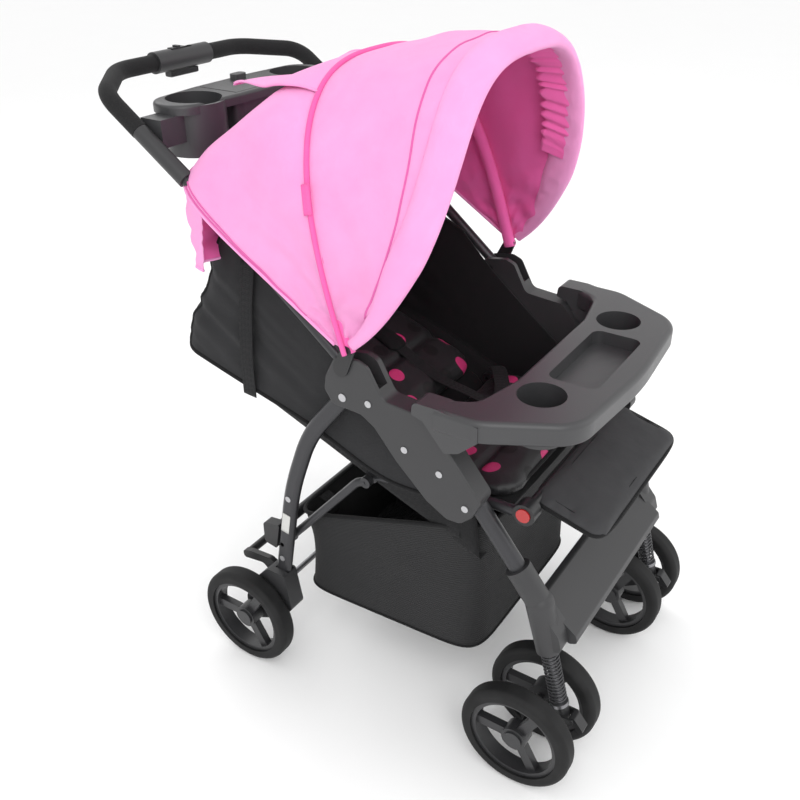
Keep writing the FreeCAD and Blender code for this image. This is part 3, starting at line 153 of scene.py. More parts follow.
class Shader:
    """Builds one material round a Principled surface."""

    def __init__(self, name: str) -> None:
        """Start an empty material of that name."""
        self.material = bpy.data.materials.new(name)
        self.material.use_nodes = True
        self.tree = self.material.node_tree
        self.tree.nodes.clear()
        self.surface = self.tree.nodes.new("ShaderNodeBsdfPrincipled")
        output = self.tree.nodes.new("ShaderNodeOutputMaterial")
        self.tree.links.new(self.surface.outputs[0], output.inputs["Surface"])
        self.places = self.tree.nodes.new("ShaderNodeTexCoord")

    def feed(self, socket: bpy.types.NodeSocket, value: object) -> None:
        """Give a socket a link, a wrapped number or a constant."""
        if isinstance(value, Number):
            value = value.socket
        if isinstance(value, bpy.types.NodeSocket):
            self.tree.links.new(value, socket)
        elif isinstance(value, tuple) and len(value) == 3 and socket.type == "RGBA":
            socket.default_value = (*value, 1.0)
        else:
            socket.default_value = value

    def node(self, kind: str, settings: dict | None = None, values: dict | None = None) -> bpy.types.Node:
        """Add a node.

        Args:
            kind: the node's type, without its ShaderNode prefix.
            settings: its own properties, set first; a ramp's stops go under the key "stops".
            values: its sockets by name or number.

        Returns:
            The node.
        """
        made = self.tree.nodes.new(f"ShaderNode{kind}")
        for key, value in (settings or {}).items():
            if key == "stops":
                ramp = made.color_ramp.elements
                for i, (at, colour) in enumerate(value):
                    stop = ramp[i] if i < len(ramp) else ramp.new(at)
                    stop.position, stop.color = at, (*colour, 1.0)
            else:
                setattr(made, key, value)
        for key, value in (values or {}).items():
            self.feed(made.inputs[key], value)
        return made

    def at(self, space: Space, turn: tuple[float, float, float] = (0, 0, 0)) -> bpy.types.NodeSocket:
        """Coordinates of a space, turned by Euler angles in radians."""
        out = self.places.outputs[space.value]
        if turn == (0, 0, 0):
            return out
        return self.node("Mapping", {"vector_type": "TEXTURE"}, {"Vector": out, "Rotation": turn}).outputs[0]

    def noise(self, where: bpy.types.NodeSocket, scale: float, detail: float = 2.0) -> Number:
        """Smooth noise from 0 to 1, with that many bumps to the metre."""
        made = self.node("TexNoise", None, {"Vector": where, "Scale": scale, "Detail": detail})
        return Number(self, made.outputs[0])

    def cells(self, where: bpy.types.NodeSocket, scale: float) -> Number:
        """Distance to the nearest of scattered points, for pores and grain."""
        made = self.node("TexVoronoi", None, {"Vector": where, "Scale": scale})
        return Number(self, made.outputs["Distance"])

    def axes(self, where: bpy.types.NodeSocket) -> list[Number]:
        """The three coordinates as numbers."""
        split = self.node("SeparateXYZ", None, {"Vector": where})
        return [Number(self, out) for out in split.outputs]

    def weave(self, across: Number, along: Number, pitch: float) -> Number:
        """Height of a plain weave whose threads lie pitch apart."""
        turn = math.pi / pitch
        warp = abs((across * turn).maths("SINE"))
        weft = abs((along * turn).maths("SINE"))
        over = ((across * (turn / 2)).maths("SINE") * (along * (turn / 2)).maths("SINE")) > 0
        return over * warp + (1 - over) * weft

    def mix(self, factor: Number, low: Colour, high: Colour) -> bpy.types.NodeSocket:
        """A colour between two others."""
        settings = {"data_type": "RGBA"}
        made = self.node("Mix", settings, {0: factor, 6: (*low, 1.0), 7: (*high, 1.0)})
        return made.outputs[2]

    def bump(self, height: Number, depth: float, strength: float = 1.0) -> None:
        """Raise the surface by a height times a depth in metres."""
        made = self.node("Bump", None, {"Height": height, "Distance": depth, "Strength": strength})
        self.feed(self.surface.inputs["Normal"], made.outputs[0])

    def set(self, **values: object) -> None:
        """Set the surface's sockets, with underscores for spaces in their names."""
        for key, value in values.items():
            self.feed(self.surface.inputs[key.replace("_", " ")], value)


# ---------------------------------------------------------------- finishes


@dataclass(frozen=True)
class Moulded:
    """Moulded plastic: fine grain, faint flow marks, rubbed patches."""

    name: str
    colour: Colour
    roughness: float = 0.42
    grain: float = 0.00006
    coat: float = 0.0

    def build(self) -> bpy.types.Material:
        """Make the material."""
        shader = Shader(self.name)
        where = shader.at(Space.OBJECT)
        cloud, grain = shader.noise(where, 14, 3), shader.cells(where, 1500)
        lighter = tuple(min(1.0, c * 1.28 + 0.004) for c in self.colour)
        shader.set(Base_Color=shader.mix(cloud, self.colour, lighter), Coat_Roughness=0.2)
        shader.set(Roughness=(cloud * 0.16 + (self.roughness - 0.08)).clipped(), Coat_Weight=self.coat)
        shader.bump(grain + shader.noise(where, 60, 2) * 0.5, self.grain)
        return shader.material


@dataclass(frozen=True)
class Painted:
    """Painted or bare metal tube: fine flake and long faint streaks."""

    name: str
    colour: Colour
    roughness: float = 0.32
    metallic: float = 0.55

    def build(self) -> bpy.types.Material:
        """Make the material."""
        shader = Shader(self.name)
        where = shader.at(Space.OBJECT)
        flake, wear = shader.noise(where, 900, 1), shader.noise(where, 22, 4)
        lighter = tuple(min(1.0, c * 1.5 + 0.01) for c in self.colour)
        shader.set(Base_Color=shader.mix(flake * 0.5 + wear * 0.4, self.colour, lighter))
        shader.set(Metallic=self.metallic, Roughness=(wear * 0.18 + self.roughness - 0.07).clipped())
        shader.bump(flake, 0.00003)
        return shader.material


@dataclass(frozen=True)
class Foam:
    """Closed-cell foam: matte, with fine open pores."""

    name: str
    colour: Colour

    def build(self) -> bpy.types.Material:
        """Make the material."""
        shader = Shader(self.name)
        where = shader.at(Space.OBJECT)
        pores, cloud = shader.cells(where, 620), shader.noise(where, 45, 3)
        paler = tuple(c * 1.7 + 0.006 for c in self.colour)
        shader.set(Base_Color=shader.mix(pores * 0.7 + cloud * 0.3, self.colour, paler))
        shader.set(Roughness=(0.78 + cloud * 0.16).clipped(), Sheen_Weight=0.03, Specular_IOR_Level=0.25)
        shader.bump(pores, 0.00035)
        return shader.material


@dataclass(frozen=True)
class Rubber:
    """Tyre rubber: dusty satin with fine pitting."""

    name: str
    colour: Colour

    def build(self) -> bpy.types.Material:
        """Make the material."""
        shader = Shader(self.name)
        where = shader.at(Space.OBJECT)
        dust, pit = shader.noise(where, 26, 5), shader.noise(where, 700, 2)
        dusty = tuple(c * 1.9 + 0.012 for c in self.colour)
        shader.set(Base_Color=shader.mix((dust * 1.6 - 0.45).clipped(), self.colour, dusty))
        shader.set(Roughness=(0.52 + dust * 0.3).clipped(), Specular_IOR_Level=0.25)
        shader.bump(pit, 0.00008)
        return shader.material


@dataclass(frozen=True)
class Cloth:
    """Woven cloth: plain weave on the piece's own UV map, painted shade in clouds and along the creases, and
    a soft sheen.
    """

    name: str
    colour: Colour
    # deep: the darker colour, reached between the threads and where the painted shade falls
    deep: Colour
    pitch: float = 0.0011
    relief: float = 0.00022
    sheen: float = 0.03
    roughness: float = 0.82
    crease: float = 0.0008

    def build(self) -> bpy.types.Material:
        """Make the material."""
        shader = Shader(self.name)
        place = shader.at(Space.OBJECT)
        across, along, _ = shader.axes(shader.at(Space.UV))
        threads = shader.weave(across, along, self.pitch)
        cloud, folds = shader.noise(place, 9, 4), shader.noise(place, 38, 3)
        # painted shade: where the cloud and the crease noise run low the colour goes towards deep; the crease
        # noise also sinks the bump there
        tint = (threads * 0.35 + cloud * 0.5 + folds * 0.3).clipped()
        shader.set(Base_Color=shader.mix(tint, self.deep, self.colour))
        shader.set(Roughness=(self.roughness + cloud * 0.12 - 0.06).clipped())
        shader.set(Sheen_Weight=self.sheen, Sheen_Roughness=0.45, Specular_IOR_Level=0.25)
        shader.bump(threads * self.relief + folds * self.crease, 1.0)
        return shader.material


@dataclass(frozen=True)
class Ribbed:
    """Ribbed basket cloth: close cords along one way with fine cross threads."""

    name: str
    colour: Colour
    rib: float = 0.0045

    def build(self) -> bpy.types.Material:
        """Make the material."""
        shader = Shader(self.name)
        across, along, _ = shader.axes(shader.at(Space.UV))
        ribs = abs((along * (math.pi / self.rib)).maths("SINE"))
        cross = abs((across * (math.pi / 0.0018)).maths("SINE"))
        cloud = shader.noise(shader.at(Space.OBJECT), 12, 4)
        paler = tuple(c * 2.6 + 0.012 for c in self.colour)
        tint = (ribs * 0.55 + cross * 0.15 + cloud * 0.25).clipped()
        shader.set(Base_Color=shader.mix(tint, self.colour, paler))
        shader.set(Roughness=(0.66 + cloud * 0.2).clipped(), Sheen_Weight=0.03, Specular_IOR_Level=0.3)
        shader.bump(ribs * 0.0008 + cross * 0.00025, 1.0)
        return shader.material


@dataclass(frozen=True)
class Dotted:
    """Shiny black liner with staggered dots, one in three or so pink and the others a deeper black."""

    BEYOND: ClassVar[float] = 20.0  # added to the counts, so that they stay above 0 over the whole pad

    name: str
    turn: tuple[float, float, float] = (0, 0, 0)
    gap: float = 0.052
    radius: float = 0.0135
    edge: float = 0.0006
    low: Colour = (0.006, 0.006, 0.0065)
    high: Colour = (0.019, 0.019, 0.021)
    black_dot: Colour = (0.0015, 0.0015, 0.002)
    pink_dot: Colour = (0.66, 0.035, 0.19)

    def build(self) -> bpy.types.Material:
        """Make the material."""
        shader = Shader(self.name)
        where = shader.at(Space.OBJECT, self.turn)
        across, along, _ = shader.axes(where)
        row = (along / self.gap).maths("FLOOR")
        odd = abs(row.maths("MODULO", 2.0))
        shifted = across / self.gap + odd * 0.5 + self.BEYOND
        column = shifted.maths("FLOOR")
        from_x = (shifted - column - 0.5) * self.gap
        from_y = (along / self.gap - row - 0.5) * self.gap
        near = (from_x * from_x + from_y * from_y).maths("SQRT")
        inside = ((self.radius - near) / self.edge).clipped()
        turn = abs((column + row * 2.0 + 2 * self.BEYOND).maths("MODULO", 3.0))
        pink = inside * (1 - (turn > 0.5))
        black = inside * (turn > 0.5)
        threads = shader.weave(across, along, 0.0012)
        cloud = shader.noise(shader.at(Space.OBJECT), 20, 4)
        ground = shader.mix((threads * 0.4 + cloud * 0.6).clipped(), self.low, self.high)
        dark = self.layered(shader, black, ground, self.black_dot)
        shader.set(Base_Color=self.layered(shader, pink, dark, self.pink_dot))
        shader.set(Roughness=(0.30 + cloud * 0.22 + inside * 0.1).clipped(), Sheen_Weight=0.03)
        shader.bump(threads * 0.0002 + cloud * 0.0018 + inside * 0.0001, 1.0)
        return shader.material

    @staticmethod
    def layered(
        shader: Shader, mask: Number, under: bpy.types.NodeSocket, over: Colour
    ) -> bpy.types.NodeSocket:
        """One colour laid over another where the mask is 1."""
        return shader.node("Mix", {"data_type": "RGBA"}, {0: mask, 6: under, 7: (*over, 1.0)}).outputs[2]


PINK = Cloth(
    "pink canopy cloth", (0.97, 0.43, 0.75), (0.84, 0.27, 0.57), pitch=0.0012, sheen=0.1, crease=0.0024
)
PINK_TRIM = Cloth("deep pink trim", (0.90, 0.16, 0.46), (0.78, 0.09, 0.34), pitch=0.0016, sheen=0.1)
HOT_PINK = Cloth(
    "hot pink lining", (0.98, 0.19, 0.53), (0.92, 0.12, 0.42), pitch=0.0012, sheen=0.1, crease=0.0015
)
STITCH = Cloth("pink stitching", (0.80, 0.16, 0.46), (0.62, 0.10, 0.34), pitch=0.0012, sheen=0.1)
LEG_REST = Cloth("leg rest cloth", (0.064, 0.064, 0.067), (0.034, 0.034, 0.036), pitch=0.0014, crease=0.0012)
CHARCOAL = Cloth("charcoal cloth", (0.030, 0.030, 0.032), (0.012, 0.012, 0.013), pitch=0.0014, crease=0.0022)
BLACK_CLOTH = Cloth("black cloth", (0.012, 0.012, 0.013), (0.004, 0.004, 0.0045), pitch=0.0013, crease=0.0018)
WEBBING = Cloth("black webbing", (0.018, 0.018, 0.019), (0.007, 0.007, 0.008), pitch=0.0024, relief=0.0005)
BINDING = Cloth("black binding", (0.012, 0.012, 0.013), (0.005, 0.005, 0.005), pitch=0.0018, relief=0.0004)
PALE = Cloth("pale badge thread", (0.62, 0.62, 0.64), (0.42, 0.42, 0.44), pitch=0.0009)
LABEL = Moulded("blank label", (0.50, 0.50, 0.48), 0.35)
BASKET = Ribbed("ribbed basket cloth", (0.006, 0.006, 0.0065))


@dataclass(frozen=True)
class FrameFinishes:
    """Which finish each part of the frame gets."""

    plate: Moulded = Moulded("plate plastic", (0.024, 0.024, 0.0255), 0.46)
    tray: Moulded = Moulded("tray plastic", (0.036, 0.036, 0.038), 0.36, 0.00008)
    trim: Moulded = Moulded("trim plastic", (0.010, 0.010, 0.011), 0.40)
    wheel: Moulded = Moulded("wheel plastic", (0.020, 0.020, 0.0215), 0.38)
    button: Moulded = Moulded("red button", (0.36, 0.010, 0.011), 0.22, 0.00001, 0.4)
    tube: Painted = Painted("gunmetal tube", (0.034, 0.034, 0.037))
    rivet: Painted = Painted("bright steel", (0.40, 0.40, 0.41), 0.30, 1.0)
    axle: Painted = Painted("dark steel", (0.20, 0.20, 0.21), 0.34, 0.9)
    spring: Painted = Painted("black spring steel", (0.045, 0.045, 0.048), 0.26, 0.6)
    foam: Foam = Foam("handle foam", (0.008, 0.008, 0.0085))
    tyre: Rubber = Rubber("tyre rubber", (0.006, 0.006, 0.0063))

    def by_slot(self) -> dict[str, object]:
        """The finish of each material slot of the record."""
        return {
            "frame_tube": self.tube,
            "plate_plastic": self.plate,
            "tray_plastic": self.tray,
            "trim_plastic": self.trim,
            "wheel_plastic": self.wheel,
            "tyre": self.tyre,
            "foam": self.foam,
            "rivet_steel": self.rivet,
            "axle_steel": self.axle,
            "spring_steel": self.spring,
            "button_red": self.button,
        }

    def dress(self) -> None:
        """Give every carried-over node of the frame its finish."""
        made = {slot: finish.build() for slot, finish in self.by_slot().items()}
        for entry in frame["record"]["subparts"]:
            material = made.get(entry["material_slot"])
            if material is None:
                continue
            node = frame["nodes"][entry["node"]]
            if not node.material_slots:
                node.data.materials.append(material)
            for slot in node.material_slots:
                slot.link = "OBJECT"
                slot.material = material
        log.info("frame dressed in %d finishes", len(made))


class Wardrobe:
    """Builds each finish once and hands out its material."""

    _made: dict[str, bpy.types.Material] = {}

    @classmethod
    def get(cls, finish: object) -> bpy.types.Material:
        """The material of a finish."""
        if finish.name not in cls._made:
            cls._made[finish.name] = finish.build()
        return cls._made[finish.name]


# ---------------------------------------------------------------- mesh building


def smoothstep(low: float, high: float, value: float) -> float:
    """A soft step from 0 at low to 1 at high."""
    share = min(1.0, max(0.0, (value - low) / (high - low)))
    return share * share * (3 - 2 * share)


def ruffle_noise(at: Vector, scale: float, seed: float = 0.0) -> float:
    """Smooth noise from -1 to 1 with a feature size of 1 / scale metres."""
    return noise.noise(at * scale + Vector((seed, seed * 1.7, -seed)))


def as_object(bm: bmesh.types.BMesh, name: str, *finishes: object) -> bpy.types.Object:
    """Turn a bmesh into a smooth-shaded object.

    Args:
        bm: the mesh, which is freed.
        name: the piece's name.
        finishes: its finishes, in slot order.

    Returns:
        The object, at the origin.
    """
    mesh = bpy.data.meshes.new(name)
    for face in bm.faces:
        face.smooth = True
    bm.to_mesh(mesh)
    bm.free()
    piece = bpy.data.objects.new(name, mesh)
    bpy.context.scene.collection.objects.link(piece)
    for finish in finishes:
        mesh.materials.append(Wardrobe.get(finish))
    return piece


def cloth_sheet(
    name: str,
    place: Place,
    cuts: tuple[int, int],
    span: tuple[float, float],
    *finishes: object,
    inside: Vector,
) -> bpy.types.Object:
    """A sheet of cloth laid out by a function of two shares from 0 to 1.

    Args:
        name: the piece's name.
        place: where each share of the width and length lies.
        cuts: faces across and along.
        span: the cloth's width and length in metres, for its weave.
        finishes: its finishes.
        inside: a point on the side that its lining looks to.

    Returns:
        The open sheet, whose faces look away from that point.
    """
    bm = bmesh.new()
    bmesh.ops.create_grid(bm, x_segments=cuts[0], y_segments=cuts[1], size=0.5)
    layer = bm.loops.layers.uv.new("UVMap")
    for face in bm.faces:
        for loop in face.loops:
            u, v = loop.vert.co.x + 0.5, loop.vert.co.y + 0.5
            loop[layer].uv = (u * span[0], v * span[1])
    for vert in bm.verts:
        vert.co = place(vert.co.x + 0.5, vert.co.y + 0.5)
    bmesh.ops.remove_doubles(bm, verts=bm.verts, dist=1e-6)
    bm.normal_update()
    if sum(face.normal.dot(face.calc_center_median() - inside) * face.calc_area() for face in bm.faces) < 0:
        bmesh.ops.reverse_faces(bm, faces=bm.faces)
    return as_object(bm, name, *finishes)


def cloth_tube(
    name: str,
    route: Route,
    girth: Callable[[float, float], tuple[float, float]],
    cuts: tuple[int, int],
    lengths: tuple[float, float],
    out: Callable[[float], Vector],
    finish: object,
    closed: bool = False,
) -> bpy.types.Object:
    """A closed tube of any section along a route.

    Args:
        name: the piece's name.
        route: the centre line, from 0 to 1.
        girth: offsets outward and sideways for a turn in radians and a share of the route.
        cuts: faces round and along.
        lengths: the tube's girth and length in metres, for its weave.
        out: the outward direction at a share of the route.
        finish: its finish.
        closed: the route runs back into its start.

    Returns:
        The tube.
    """
    bm = bmesh.new()
    bmesh.ops.create_grid(bm, x_segments=cuts[0], y_segments=cuts[1], size=0.5)
    layer = bm.loops.layers.uv.new("UVMap")
    for face in bm.faces:
        for loop in face.loops:
            u, v = loop.vert.co.x + 0.5, loop.vert.co.y + 0.5
            loop[layer].uv = (u * lengths[0], v * lengths[1])
    step = 0.5 / cuts[1]
    for vert in bm.verts:
        turn, share = (vert.co.x + 0.5) * math.tau, vert.co.y + 0.5
        before, after = share - step, share + step
        if closed:
            heading = (route(after % 1.0) - route(before % 1.0)).normalized()
        else:
            heading = (route(min(1.0, after)) - route(max(0.0, before))).normalized()
        outward = out(share)
        outward = (outward - heading * outward.dot(heading)).normalized()
        side = heading.cross(outward)
        rise, slide = girth(turn, share)
        vert.co = route(share % 1.0 if closed else share) + outward * rise + side * slide
    bmesh.ops.remove_doubles(bm, verts=bm.verts, dist=1e-6)
    if not closed:
        bmesh.ops.holes_fill(bm, edges=[e for e in bm.edges if e.is_boundary], sides=0)
    bmesh.ops.recalc_face_normals(bm, faces=bm.faces)
    return as_object(bm, name, finish)


def oval(rise: float, slide: float, power: float = 2.0) -> Callable[[float, float], tuple[float, float]]:
    """The section of a rounded strip: half its height and half its width."""

    def section(turn: float, _share: float) -> tuple[float, float]:
        """One point of the section."""
        c, s = math.cos(turn), math.sin(turn)
        return (
            rise * math.copysign(abs(c) ** (2 / power), c),
            slide * math.copysign(abs(s) ** (2 / power), s),
        )

    return section


def thicken(piece: bpy.types.Object, depth: float, inside: bool = False) -> None:
    """Give a sheet its thickness; its second finish lines the inside when asked."""
    wall = piece.modifiers.new("Thickness", "SOLIDIFY")
    wall.thickness = depth
    wall.offset = -1.0
    wall.use_even_offset = False
    if inside:
        wall.material_offset = 1
        wall.material_offset_rim = 0


def smooth(piece: bpy.types.Object) -> None:
    """Subdivide a piece's surface once."""
    made = piece.modifiers.new("Smooth", "SUBSURF")
    made.levels = made.render_levels = 1


def baked(piece: bpy.types.Object) -> None:
    """Apply a piece's modifiers to its mesh."""
    graph = bpy.context.evaluated_depsgraph_get()
    mesh = bpy.data.meshes.new_from_object(piece.evaluated_get(graph), depsgraph=graph)
    piece.modifiers.clear()
    piece.data = mesh


def polyline(points: Sequence[Vector], corner: float = 0.02) -> Route:
    """A route through points whose corners are rounded over a distance."""
    lengths = [0.0]
    for a, b in zip(points, points[1:]):
        lengths.append(lengths[-1] + (b - a).length)
    total = lengths[-1]

    def on_line(distance: float) -> Vector:
        """The point a distance along the straight runs."""
        distance = min(max(distance, 0.0), total)
        for i, (a, b) in enumerate(zip(points, points[1:])):
            if distance <= lengths[i + 1] or i == len(points) - 2:
                return a.lerp(b, (distance - lengths[i]) / max(1e-9, lengths[i + 1] - lengths[i]))
        return points[-1]

    def route(share: float) -> Vector:
        """The rounded point, as a mean of its neighbours on the straight runs."""
        at = share * total
        reach = min(corner, at, total - at)
        samples = [on_line(at + reach * (k / 4)) for k in range(-4, 5)]
        return sum(samples, Vector()) / len(samples)

    return route


def stuff(piece: bpy.types.Object, cap: float, pressure: float = 4.0, voxel: float = 0.006) -> None:
    """Blow a closed shape up as stuffed cloth, with each point's travel capped.

    Args:
        piece: the closed shape, a little smaller than the pad.
        cap: the furthest a point may move, in metres.
        pressure: the stuffing's push.
        voxel: the size of the cloth's faces.
    """
    remesh = piece.modifiers.new("Remesh", "REMESH")
    remesh.mode, remesh.voxel_size = "VOXEL", voxel
    baked(piece)
    rest = [v.co.copy() for v in piece.data.vertices]
    cloth = piece.modifiers.new("Cloth", "CLOTH")
    cloth.settings.use_pressure = True
    cloth.settings.uniform_pressure_force = pressure
    cloth.settings.quality = 4
    cloth.settings.effector_weights.gravity = 0.0
    scene = bpy.context.scene
    for step in range(1, 21):
        scene.frame_set(step)
    baked(piece)
    for vert, home in zip(piece.data.vertices, rest):
        move = vert.co - home
        if move.length > cap:
            vert.co = home + move.normalized() * cap
    scene.frame_set(1)
    for face in piece.data.polygons:
        face.use_smooth = True


def evenly(raw: Route, samples: int = 240) -> Route:
    """The same curve, run through at an even speed.

    Args:
        raw: the curve, from 0 to 1.
        samples: how finely its length is measured.

    Returns:
        The curve by share of its length.
    """
    points = [raw(i / samples) for i in range(samples + 1)]
    lengths = [0.0]
    for a, b in zip(points, points[1:]):
        lengths.append(lengths[-1] + (b - a).length)

    def route(share: float) -> Vector:
        """The point at a share of the length."""
        goal = min(1.0, max(0.0, share)) * lengths[-1]
        i = min(max(bisect.bisect_right(lengths, goal) - 1, 0), samples - 1)
        return points[i].lerp(points[i + 1], (goal - lengths[i]) / max(1e-9, lengths[i + 1] - lengths[i]))

    return route


def strap(
    name: str, points: Sequence[Vector], width: float, thick: float, face: Vector, finish: object = WEBBING
) -> bpy.types.Object:
    """A flat strap along a line of points.

    Args:
        name: the piece's name.
        points: its line; corners are rounded.
        width: its width.
        thick: its thickness.
        face: the way its broad side looks.
        finish: its finish.

    Returns:
        The closed strap.
    """
    length = sum((b - a).length for a, b in zip(points, points[1:]))
    cuts = (20, max(8, int(length / 0.006)))
    section = oval(thick / 2, width / 2, 5.0)
    return cloth_tube(name, polyline(points), section, cuts, (width * 2, length), lambda _share: face, finish)


def bead(
    name: str, route: Route, radius: float, length: float, finish: object, closed: bool = False
) -> bpy.types.Object:
    """A round cord of piping along a route of about that length."""
    cuts = (10, max(12, int(length / 0.006)))
    out = UP + ACROSS * 0.013
    spans = (radius * 6, length)
    return cloth_tube(name, route, oval(radius, radius), cuts, spans, lambda _share: out, finish, closed)


# ---------------------------------------------------------------- canopy


HINGE = Vector((0, -0.065, 0.632))


@dataclass(frozen=True)
class Hoop:
    """A rounded arch that stands on the canopy's hinge line.

    Args:
        half: half its width at the foot.
        height: reach of its crown from the hinge line.
        angle: turn of its plane, in degrees up from straight back.
        power: squareness of its shoulders.
        waist: how much narrower it is at the crown's height.
        foot: how far up its plane it starts.
        flare: further turn of its low end, in degrees.
    """

    half: float
    height: float
    angle: float
    power: float = 2.7
    waist: float = 0.0
    foot: float = 0.0
    flare: float = 0.0

    def lean(self, rise: float = 1.0) -> Vector:
        """Direction from the hinge line to the arch at a share of its height."""
        turn = math.radians(self.angle + self.flare * (1 - rise) ** 1.3)
        return Vector((0, math.cos(turn), math.sin(turn)))

    def raw(self, share: float) -> Vector:
        """A point of the arch, from the right foot at 0 to the left foot at 1."""
        turn = math.pi * share
        c, s = math.cos(turn), max(0.0, math.sin(turn))
        rise = s ** (2 / self.power)
        half = self.half - self.waist * smoothstep(0.0, 0.8, rise)
        side = -half * math.copysign(abs(c) ** (2 / self.power), c)
        return HINGE + ACROSS * side + self.lean(rise) * (self.foot + (self.height - self.foot) * rise)

    @cached_property
    def at(self) -> Route:
        """The arch by share of its length."""
        return evenly(self.raw)

    def share_at(self, side: float) -> float:
        """The first share of the arch's length that is less than a distance from the middle."""
        return next(i / 400 for i in range(401) if self.at(i / 400).x > -side)

    def outward(self, share: float) -> Vector:
        """The way out of the arch, in its plane."""
        point, lean = self.at(share) - HINGE, self.lean()
        side, rise = point.x / self.half, max(0.0, point.dot(lean)) / self.height
        out = ACROSS * math.copysign(min(1.0, abs(side)) ** (self.power - 1), side) / self.half
        return (out + lean * (rise ** (self.power - 1) / self.height)).normalized()


@lru_cache(maxsize=4096)
def between(low: Hoop, high: Hoop, along: float) -> Hoop:
    """The arch at a share of the way between two others, with the first one's shoulders kept longer."""
    made = Hoop(*(a + (b - a) * along for a, b in zip(astuple(low), astuple(high))))
    return replace(made, power=low.power + (high.power - low.power) * along * along)


@dataclass
class Canopy:
    """The pink hood: two cloths over two bows, its padded rim, its piping, its flap and its skirt."""

    rear: Hoop = Hoop(0.2385, 0.3450, 31.5, 8.0, 0.0, 0.016)
    middle: Hoop = Hoop(0.2360, 0.3425, 72.3, 2.8, 0.0, -0.004)
    front: Hoop = Hoop(0.2340, 0.3790, 110.5, 3.0, 0.030, 0.016, 34.0)
    sag: float = 0.009
    cloth: float = 0.0012
    piping: float = 0.0036
    band_thick: float = 0.021
    band_width: float = 0.047
    flap_half: float = 0.144
    flap_length: float = 0.138
    skirt_half: float = 0.2345
    skirt_foot: tuple[float, float] = (0.186, 0.700)
    pucker: float = 0.0085
    wave: float = 0.0056
    ripple: float = 0.00192
    slant: float = 0.0045
    rear_rows: tuple[float, float] = (0.02, 0.045)
    front_rows: tuple[float, float] = (0.70, 0.835)
    gathers: tuple[float, float] = (0.18, 0.64)
    curl: float = 0.030

    def spot(self, low: Hoop, high: Hoop, across: float, along: float, folds: float = 1.0) -> Vector:
        """A point of the cloth between two hoops.

        Args:
            low: the hoop at 0.
            high: the hoop at 1.
            across: share from the right foot to the left foot.
            along: share from one hoop to the other.
            folds: how strongly the cloth creases.

        Returns:
            The point, sagged and creased.
        """
        hoop = between(low, high, round(along, 5))
        base, out = hoop.at(across), hoop.outward(across)
        edge = math.sin(math.pi * min(1.0, max(0.0, along)))
        crown = math.sin(math.pi * across)
        foot = 1 - smoothstep(0.10, 0.55, crown)
        base = base - out * (self.sag * edge * crown ** 0.6)
        puckers = ruffle_noise(Vector((crown * 0.75, along * 0.16, across * 0.2)), 17, 3.0)
        slow = ruffle_noise(base, 8, 5.0) * self.wave + ruffle_noise(base, 21, 9.0) * self.ripple
        slant = ruffle_noise(Vector((across * 1.5 + along * 0.35, along * 0.2, 0)), 9, 14.0) * self.slant
        return base + out * (folds * edge ** 0.5 * (puckers * foot * self.pucker + slow + slant))

    def build(self) -> None:
        """Make the whole hood."""
        self.cloths()
        self.rim()
        self.piping_and_patch()
        self.ruffle()
        self.flap()
        self.skirt()

    def hold(self, piece: bpy.types.Object, rear: bool) -> None:
        """Bake a piece's placement into its mesh; rear and front pieces are handled alike."""
        if rear:
            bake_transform(piece)
        else:
            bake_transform(piece)

    def cloths(self) -> None:
        """The two main cloths, lined in a deeper pink, and their rows of stitching."""
        for is_rear, (low, high, width) in {
            True: (self.rear, self.middle, 0.24), False: (self.middle, self.front, 0.26)
        }.items():
            side = "rear" if is_rear else "front"
            piece = cloth_sheet(
                f"canopy_{side}_cover",
                lambda u, v, a=low, b=high: self.spot(a, b, u, v),
                (200, 60), (1.0, width), PINK, HOT_PINK, inside=HINGE,
            )
            thicken(piece, self.cloth, inside=True)
            self.hold(piece, is_rear)
            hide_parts(f"canopy_{side}_cloth")
            for number, row in enumerate(self.rear_rows if is_rear else self.front_rows):
                seam = self.seam(f"canopy_{side}_seam_{number + 1}", low, high, row)
                self.hold(seam, is_rear)
        hem = bead("canopy_rear_hem", lambda s: self.spot(self.rear, self.middle, s, 0.0), 0.0024, 1.0, PINK)
        self.hold(hem, True)
        log.info("canopy cloths")

    def seam(self, name: str, low: Hoop, high: Hoop, row: float) -> bpy.types.Object:
        """A line of stitching along the cloth at a share between its hoops."""

        def across(share: float) -> float:
            """The seam's place across the cloth, short of its feet."""
            return 0.05 + 0.90 * share

        def line(share: float) -> Vector:
            """The seam's own line, just proud of the cloth."""
            return self.spot(low, high, across(share), row) + low.outward(across(share)) * 0.0006

        section = oval(0.0007, 0.0013)
        return cloth_tube(
            name, line, section, (8, 260), (0.004, 0.9), lambda s: high.outward(across(s)), STITCH
        )

    def inward(self, share: float) -> Vector:
        """The way back from the front edge along the cloth."""
        edge = self.spot(self.middle, self.front, share, 1.0, 0.0)
        return (self.spot(self.middle, self.front, share, 0.92, 0.0) - edge).normalized()

    def rim(self) -> None:
        """The padded band round the front edge."""

        def line(share: float) -> Vector:
            """The band's middle line."""
            full = smoothstep(0.0, 0.14, min(share, 1 - share))
            point = self.spot(self.middle, self.front, share, 1.0, 0.0)
            return point + self.inward(share) * (self.band_width * (0.10 + 0.34 * full))

        def girth(turn: float, share: float) -> tuple[float, float]:
            """The band's soft section, slimmer at the feet."""
            full = smoothstep(0.0, 0.16, min(share, 1 - share))
            lump = 1 + 0.10 * noise.noise(Vector((share * 60, math.cos(turn), math.sin(turn))))
            rise, slide = oval(self.band_thick / 2, self.band_width / 2, 2.3)(turn, share)
            return rise * (0.35 + 0.65 * full) * lump, slide * (0.34 + 0.66 * full)

        band = cloth_tube("canopy_rim", line, girth, (40, 260), (0.11, 1.05), self.front.outward, PINK)
        smooth(band)
        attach(band, "canopy_front")
        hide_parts("canopy_front_bow")
        log.info("canopy rim")

